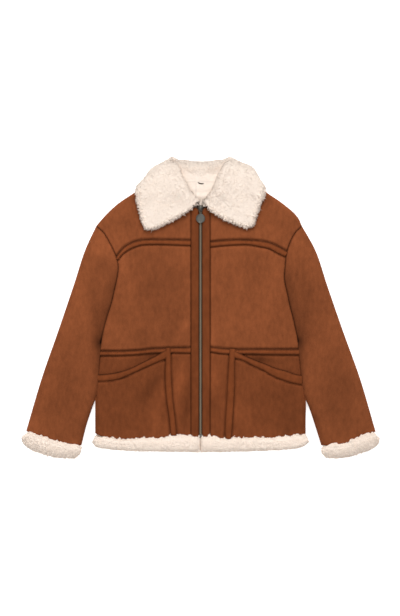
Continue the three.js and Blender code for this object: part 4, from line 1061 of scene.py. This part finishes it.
def cuff(side):
    """Pile turned out at a cuff: a fat rolled ring, 4 mm of wall, higher in the middle of its roll."""
    line, foot = curve(CUFF_LINE[side]), curve(CUFF_FOOT[side])
    lines = (line, foot, straight(line[0], foot[0]), straight(line[-1], foot[-1]))
    us, vs = shares_for(105, 1.7, 0.8, 9), shares_for(24, 1.5, 0.9, 6)
    v = vs[:, None]
    crowned = (1 - v) * (2.4 - 7 * np.abs(2 * us - 1) ** 6)[None]
    xy = patch(*lines, us, vs) + np.dstack([0 * crowned, crowned])
    x = xy[..., 0]
    wavy = (1.1 * ripples(x, 0 * x, 11, 73) + 0.6 * ripples(x, 0 * x, 5, 74)) * (1 - v) ** 4
    xy = xy + np.dstack([0 * wavy, wavy])
    away = np.minimum(us, 1 - us)[None] * 105
    floor = 3 * v ** 4 + 0 * us[None]
    peak = (8 + 9 * np.sqrt(np.clip(1 - (1.5 * v - 0.55) ** 2, 0, 1)) + np.sin(np.pi * us)[None]
            - 2 * round_over(v / 0.15))
    middle = (floor + peak) / 2
    over = quarter(away / 9)
    outside = loop_of(xy, middle + (peak - middle) * over, middle - (middle - floor) * over)
    within_xy = patch(*lines, us * (1 - 10 / 105) + 5 / 105, vs * 0.93)
    inside = loop_of(within_xy, np.maximum(middle + (peak - middle) * over - 5, middle + 0.2),
                     np.minimum(middle - (middle - floor) * over + 4, middle - 0.2))
    grid = np.concatenate([outside, inside[::-1]])
    normal = normals_of(grid, around=True)
    away_from = grid - grid.mean((0, 1))
    if (normal[:len(vs)] * away_from[:len(vs)]).sum() < 0:
        normal = -normal
    ring_length = np.linalg.norm(grid - np.roll(grid, 1, 1), axis=2).cumsum(1)
    deep = np.concatenate([np.ones(len(vs)), np.zeros(len(vs))])[:, None]
    ring_place = np.arange(len(grid))[:, None] * 1.4 + 0 * ring_length
    grid, tone_and_shade = fleece(grid, normal * deep[..., None], ring_length, ring_place, 101, mottle=0.08)
    # Painted shade: darker where the pile faces up the coat, towards the key light, lighter where it faces
    # down.
    tone_and_shade = tone_and_shade * (1 - 0.2 * normal[..., 1])
    piece = torus(grid, f"cuff_trim_{side}", PILE, tone_and_shade * 1.03, (f"cuff_trim_{side}",))
    over_grid = grid[:len(vs), :len(us)]
    up = upward(over_grid)
    comb = np.zeros_like(over_grid)
    comb[..., 1] = np.where(vs < 0.25, 1.0, -1.0)[:, None]
    locks = [tufts(f"cuff_trim_{side}_pile", over_grid, up, comb, 2300, 3.4, 1.0, 103, rise=0.5),
             tufts(f"cuff_trim_{side}_fringe", over_grid, up, comb, 700, 4.0, 0.8, 104, rise=0.4, spread=0.5,
                   weight=bell(np.minimum(v * 24, (1 - v) * 24), 3) + 0 * us[None])]
    declare(xy, own_line=True, tube_side=1)


for side in SIDES:
    cuff(side)

# The pile inside the back, seen through the neck.
nx, ny = np.meshgrid(np.linspace(-60, 60, 112), np.linspace(171, 236, 62))
wide = 8 + 50 * ease((ny - 171) / 50)
lining_xy = np.dstack([nx / 60 * wide, ny])
x, y = lining_xy[..., 0], lining_xy[..., 1]
bulk = 1.7 + 3.2 * ease((y - 174) / 6) * ease((204 - y) / 10)
lining_rim = to_outline(lining_xy)
base = back_top(x, y)
top = np.dstack([x, y, base + 0.3 + bulk * quarter(lining_rim / 4)])
up = upward(top)
top, tone_and_shade = fleece(top, up * ease(lining_rim / 3)[..., None], x, y, 111, 0.45)
# Darker seam lines on the lining, and a painted shadow along the collar's roll lines; the whole lining is 0.93
# times as light.
seams_and_roll_shadow = (1 - 0.16 * bell(x + 8, 0.8) * ease((221 - y) / 3)) \
    * (1 - 0.13 * bell(y - 221.5 + 0.002 * x * x, 1.0)) * (1 - 0.13 * bell(reach(lining_xy, rolls), 5))
tone_and_shade = tone_and_shade * seams_and_roll_shadow * 0.93
lining = cushion("back_lining", top, np.dstack([x, y, base - 0.4]), tone_and_shade)
comb = np.zeros_like(top)
comb[..., 1] = -1
lining_tufts = tufts("back_lining_pile", top, up, comb, 1500, 2.0, 0.7, 113, rise=0.42, tones_and_shade=tone_and_shade)
declare(lining_xy)


# ------------------------------------------------------------------ stitches
STITCH_LIFT = 0.75  # of the threads' middles above the cloth


def stitches(name, runs, step=3.3, long=2.3, wide=0.42):
    """Short sewn threads along lines: each is a bar of six-sided section, sunk at both ends."""
    spots = []
    for line, inset in runs:
        way = np.gradient(even(line, 200), axis=0)
        way /= np.linalg.norm(way, axis=1)[:, None]
        side = np.stack([-way[:, 1], way[:, 0]], 1)
        moved = even(line, 200) + side * inset
        count = int(length_of(moved) / step)
        middle = even(moved, count + 2)[1:-1]
        turn = np.gradient(even(moved, count + 2), axis=0)[1:-1]
        spots.append(np.hstack([middle, turn / np.linalg.norm(turn, axis=1)[:, None]]))
    spots = np.vstack(spots)
    at, way = spots[:, :2], spots[:, 2:]
    z = plain_top(at[:, 0], at[:, 1]) + cloth_relief(at[:, 0], at[:, 1]) + STITCH_LIFT
    n = len(at)
    side = np.stack([-way[:, 1], way[:, 0]], 1)
    shares = np.array([-0.5, -0.3, 0.3, 0.5])
    sunk = np.array([-0.35, 0.05, 0.05, -0.35])
    size = np.array([0.45, 1.0, 1.0, 0.45])
    turns = np.arange(5) * math.tau / 5
    rings = []
    for k in range(4):
        for q in turns:
            flat = at + way * long * shares[k] + side * wide * size[k] * math.cos(q)
            rings.append(np.column_stack([flat, z + sunk[k] + 0.7 * wide * size[k] * math.sin(q)]))
    cloud = np.stack(rings, 1)
    first = (np.arange(n) * 20)[:, None, None]
    sides = np.array([[5 * k + m, 5 * k + 5 + m, 5 * k + 5 + (m + 1) % 5, 5 * k + (m + 1) % 5]
                      for k in range(3) for m in range(5)])
    caps = np.array([[0, 1, 2, 3, 4], [19, 18, 17, 16, 15]])
    if volume(cloud.reshape(-1, 3), (first + sides[None]).reshape(-1, 4)) < 0:
        sides, caps = sides[:, ::-1], caps[:, ::-1]
    return make_piece(name, cloud.reshape(-1, 3), [(first + sides[None]).reshape(-1, 4),
                                                   (first + caps[None]).reshape(-1, 5)], STITCH)


stitches("topstitching", stitch_runs)


# ------------------------------------------------------------------ zip
def capped(rings):
    """Rings of points, each joined to the next, with a flat cap on the first and the last."""
    rows, around = rings.shape[:2]
    points, faces = rings.reshape(-1, 3), grid_faces(rows, around, around=True)
    caps = [np.arange(around)[::-1][None], (np.arange(around) + (rows - 1) * around)[None]]
    if volume(points, faces) < 0:
        faces, caps = faces[:, ::-1], [cap[:, ::-1] for cap in caps]
    return points, [faces, *caps]


def swept(path, radius_across, radius_up, across=(1.0, 0.0, 0.0), around=12):
    """A rod along a path: rings of an ellipse in the plane of across and the path's own normal."""
    path = np.asarray(path, float)
    way = np.gradient(path, axis=0)
    way /= np.linalg.norm(way, axis=1)[:, None]
    side = np.asarray(across, float) - way * (way @ np.asarray(across, float))[:, None]
    side /= np.linalg.norm(side, axis=1)[:, None]
    up = np.cross(way, side)
    q = np.linspace(0, math.tau, around, endpoint=False)
    ra, ru = (np.broadcast_to(np.asarray(r, float), len(path)) for r in (radius_across, radius_up))
    return capped(path[:, None] + ra[:, None, None] * np.cos(q)[None, :, None] * side[:, None]
                  + ru[:, None, None] * np.sin(q)[None, :, None] * up[:, None])


def joined(parts):
    """Several lots of points and faces as one."""
    points, faces, start = [], [], 0
    for p, lots in parts:
        points.append(p)
        faces += [lot + start for lot in lots]
        start += len(p)
    by_size = {}
    for lot in faces:
        by_size.setdefault(lot.shape[1], []).append(lot)
    return np.concatenate(points), [np.concatenate(lots) for lots in by_size.values()]


def lathe(profile, centre, turn, around=40):
    """A profile of radius and height turned about its own Z, then tilted by turn about X and placed."""
    q = np.linspace(0, math.tau, around, endpoint=False)
    r, z = np.asarray(profile, float).T
    rings = np.stack([r[:, None] * np.cos(q), r[:, None] * np.sin(q), z[:, None] + 0 * q], -1)
    points, faces = capped(rings)
    return tilt(points + centre, turn), faces


def tilt(points, turn):
    """Turns points about the X axis."""
    x, y, z = points.T
    c, s_ = math.cos(turn), math.sin(turn)
    return np.stack([x, y * c - z * s_, y * s_ + z * c], 1)


ZIP_TOP, ZIP_FOOT, PITCH = 169.0, -221.0, 3.0
tooth_y = np.arange(ZIP_FOOT + 1, ZIP_TOP, PITCH)


def teeth(sign, shift):
    """One row of moulded teeth: each a rounded block 2.4 by 1.6 mm whose nose is narrower, set at one
    pitch from the next; the two rows are half a pitch apart."""
    y = tooth_y + shift
    shape = [(1.8, -0.80, -0.9), (1.8, 0.80, -0.9), (-0.6, 0.60, -0.9), (-0.6, -0.60, -0.9),
             (1.7, -0.75, 0.35), (1.7, 0.75, 0.35), (-0.45, 0.55, 0.35), (-0.45, -0.55, 0.35),
             (1.35, -0.50, 0.75), (1.35, 0.50, 0.75), (0.0, 0.36, 0.75), (0.0, -0.36, 0.75)]
    shape = np.array(shape)
    cloud = np.stack([np.column_stack([sign * sx + 0 * y, y + sy, plain_top(0 * y, y) - 0.1 + sz])
                      for sx, sy, sz in shape], 1)
    sides = [[4 * k + m, 4 * k + 4 + m, 4 * k + 4 + (m + 1) % 4, 4 * k + (m + 1) % 4]
             for k in range(2) for m in range(4)]
    faces = [[0, 1, 2, 3], [8, 11, 10, 9]] + sides
    quads = ((np.arange(len(y)) * 12)[:, None, None] + np.array(faces)[None]).reshape(-1, 4)
    points = cloud.reshape(-1, 3)
    return points, [quads if volume(points, quads) > 0 else quads[:, ::-1]]


points, faces = joined([teeth(1, 0.0), teeth(-1, PITCH / 2)])
teeth_piece = make_piece("zip_teeth", points, faces, TEETH, replaced=("zip_chain",))
teeth_piece.data.polygons.foreach_set("use_smooth", np.zeros(len(teeth_piece.data.polygons), bool))

tx, ty = np.meshgrid(np.linspace(-1, 1, 13), np.linspace(-224, 180, 180))
tape_up = ease((ty - 167) / 9)
tx = tx * (3.6 + 3.2 * tape_up)
tape_top = plain_top(0 * tx, ty) - 1.0 - 0.25 * bell(tx, 1.0) + 2.1 * tape_up
points, faces = walled(np.dstack([tx, ty, tape_top]), np.dstack([tx, ty, tape_top - 0.8]))
tape_piece = make_piece("zip_tape", points, faces, TAPE)
declare(np.dstack([tx, ty]))

# The end of the tape on the left, turned back beside the slider.
tail = curve([(-16, 189.5, 16.0), (-11, 187.0, 20.5), (-6, 184.0, 20.5), (-2.0, 180.5, 17.5)], 30)
points, faces = swept(tail, 0.55, 0.6, across=(0.3, 0.8, 0.2), around=8)
make_piece("zip_tape_tail", points, faces, TAPE)

end_low, end_high = (np.array(c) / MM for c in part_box("zip_end_box"))
ex, ey = np.meshgrid(np.linspace(-3.3, 3.3, 15), np.linspace(end_low[1], end_high[1], 15))
rim = np.minimum.reduce([ex + 3.3, 3.3 - ex, ey - end_low[1], end_high[1] - ey])
box_top = end_high[2] - 0.9 * round_over(rim / 1.3) - 0.35 * bell(ex, 0.5)
points, faces = walled(np.dstack([ex, ey, box_top]), np.dstack([ex, ey, 0 * ex + end_low[2]]))
make_piece("zip_end_box_metal", points, faces, GUNMETAL, replaced=("zip_end_box",))

slider_low = np.array(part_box("slider")[0]) / MM
slider_y = 174.5
su, sv = np.linspace(0, 1, 25), np.linspace(-1, 1, 21)
half_width = np.interp(su, [0, 0.25, 0.6, 0.85, 1], [2.5, 3.0, 3.9, 3.2, 0.9])
sx = half_width[:, None] * sv[None]
sy = slider_y - 5 + 10 * su[:, None] + 0 * sx
rim = np.minimum(half_width[:, None] - np.abs(sx), np.minimum(su, 1 - su)[:, None] * 10)
plate_top = slider_low[2] + 2.2 - 0.9 * round_over(rim / 1.1)
plate = walled(np.dstack([sx, sy, plate_top]), np.dstack([sx, sy, 0 * sx + slider_low[2] + 0.1]))
t = np.linspace(0, math.pi, 25)
arch = np.stack([0 * t, slider_y + 3.4 * np.cos(t), slider_low[2] + 1.9 + 3.0 * np.sin(t) ** 0.7], 1)
bridge = swept(arch, 1.45, 0.55, around=12)
points, faces = joined([plate, bridge])
make_piece("slider_metal", points, faces, GUNMETAL, replaced=("slider",))

# The pull: a bar through the bridge, a link that narrows to the disc, and the disc with its rim.
joint = frame["joints"][0]
hinge = np.array(joint["pos_m"]) / MM
PULL_TILT, DISC_Y, DISC_RADIUS = 0.12, -18.0, 8.0
link_half = [(-2.6, 0.0, 0), (-2.75, -2.2, 0), (-2.3, -5.2, 0), (-1.3, -9.2, 0), (-0.9, -11.2, 0)]
left_arm = curve(link_half, 26)
right_arm = left_arm * [-1, 1, 1]
parts = [swept(arm, 0.62, 0.72, around=10) for arm in (left_arm, right_arm)]
parts.append(swept([(-3.1, 0, 0), (-2.9, 0, 0), (0, 0, 0), (2.9, 0, 0), (3.1, 0, 0)],
                   [0.5, 0.85, 0.85, 0.85, 0.5], [0.5, 0.85, 0.85, 0.85, 0.5], across=(0, 1, 0), around=14))
r = DISC_RADIUS
disc_profile = [(0.3, -0.85), (r - 0.6, -0.85), (r - 0.2, -0.7), (r, -0.3), (r, 0.7), (r - 0.15, 1.05),
                (r - 0.5, 1.22), (r - 1.0, 1.2), (r - 1.35, 1.0), (r - 1.5, 0.72), (r - 1.9, 0.62),
                (r - 3.5, 0.66), (0.3, 0.72)]
parts = [(tilt(p, PULL_TILT), f) for p, f in parts]
parts.append(lathe(disc_profile, (0, DISC_Y, 0), PULL_TILT))
points, faces = joined(parts)
make_piece("zip_pull_metal", points + hinge, faces, GUNMETAL, body="pull", replaced=("zip_pull",))

# The loop to hang the coat by: a flat cord with both ends sewn down at the back of the neck.
lx = np.linspace(-1, 1, 30)
loop_path = np.stack([5.0 * lx + 0.4, 219 - 1.4 * (1 - lx ** 2) - 0.8 * lx, 14.3 + 0.7 * (1 - lx ** 2)], 1)
points, faces = swept(loop_path, 0.95, 0.5, across=(0.0, 1.0, 0.0), around=8)
make_piece("hanger_cord", points, faces, TAPE, replaced=("hanger_loop",))

# ------------------------------------------------------------------ table, light and camera
floor_mesh = bpy.data.meshes.new("floor")
FLOOR_REACH, FLOOR_Z = 30, -0.0004  # metres
floor_corners = [(a * FLOOR_REACH, b * FLOOR_REACH, FLOOR_Z) for a, b in ((-1, -1), (1, -1), (1, 1), (-1, 1))]
floor_mesh.from_pydata(floor_corners, [], [(0, 1, 2, 3)])
floor = bpy.data.objects.new("floor", floor_mesh)
bpy.context.scene.collection.objects.link(floor)
paper = Finish("pale_table", Roughness=1.0, Specular_IOR_Level=0.0, Emission_Strength=0.62)
paper.shader.inputs["Base Color"].default_value = (0.90, 0.90, 0.90, 1.0)
paper.shader.inputs["Emission Color"].default_value = (1.0, 1.0, 1.0, 1.0)
floor_mesh.materials.append(paper.material)

world = bpy.data.worlds.new("studio")
world.use_nodes = True
world.node_tree.nodes["Background"].inputs["Color"].default_value = (1.0, 1.0, 1.0, 1.0)
world.node_tree.nodes["Background"].inputs["Strength"].default_value = 0.42
bpy.context.scene.world = world


def soft_light(name, place, aim, size, watts):
    """A square soft box of the given side in metres, turned to face a point."""
    data = bpy.data.lights.new(name, "AREA")
    data.shape, data.size, data.energy = "SQUARE", size, watts
    lamp = bpy.data.objects.new(name, data)
    bpy.context.scene.collection.objects.link(lamp)
    lamp.location = place
    toward = Vector(aim) - Vector(place)
    lamp.rotation_euler = toward.to_track_quat("-Z", "Y").to_euler()
    return lamp


soft_light("key", (0.25, 2.2, 1.7), (0, 0, 0), 1.4, 62)
soft_light("fill", (-0.9, -0.8, 2.6), (0, 0, 0), 2.4, 22)

FRAME_HEIGHT = 1.078  # metres of table that the view takes in from top to bottom
LENS, SENSOR = 85.0, 36.0
camera_data = bpy.data.cameras.new("camera")
camera_data.lens, camera_data.sensor_width, camera_data.sensor_fit = LENS, SENSOR, "AUTO"
camera_data.clip_end = 20
camera = bpy.data.objects.new("camera", camera_data)
bpy.context.scene.collection.objects.link(camera)
camera.location = (-0.0009, 0.0, LENS / SENSOR * FRAME_HEIGHT + 0.015)
bpy.context.scene.camera = camera
bpy.context.scene.view_settings.view_transform = "Standard"
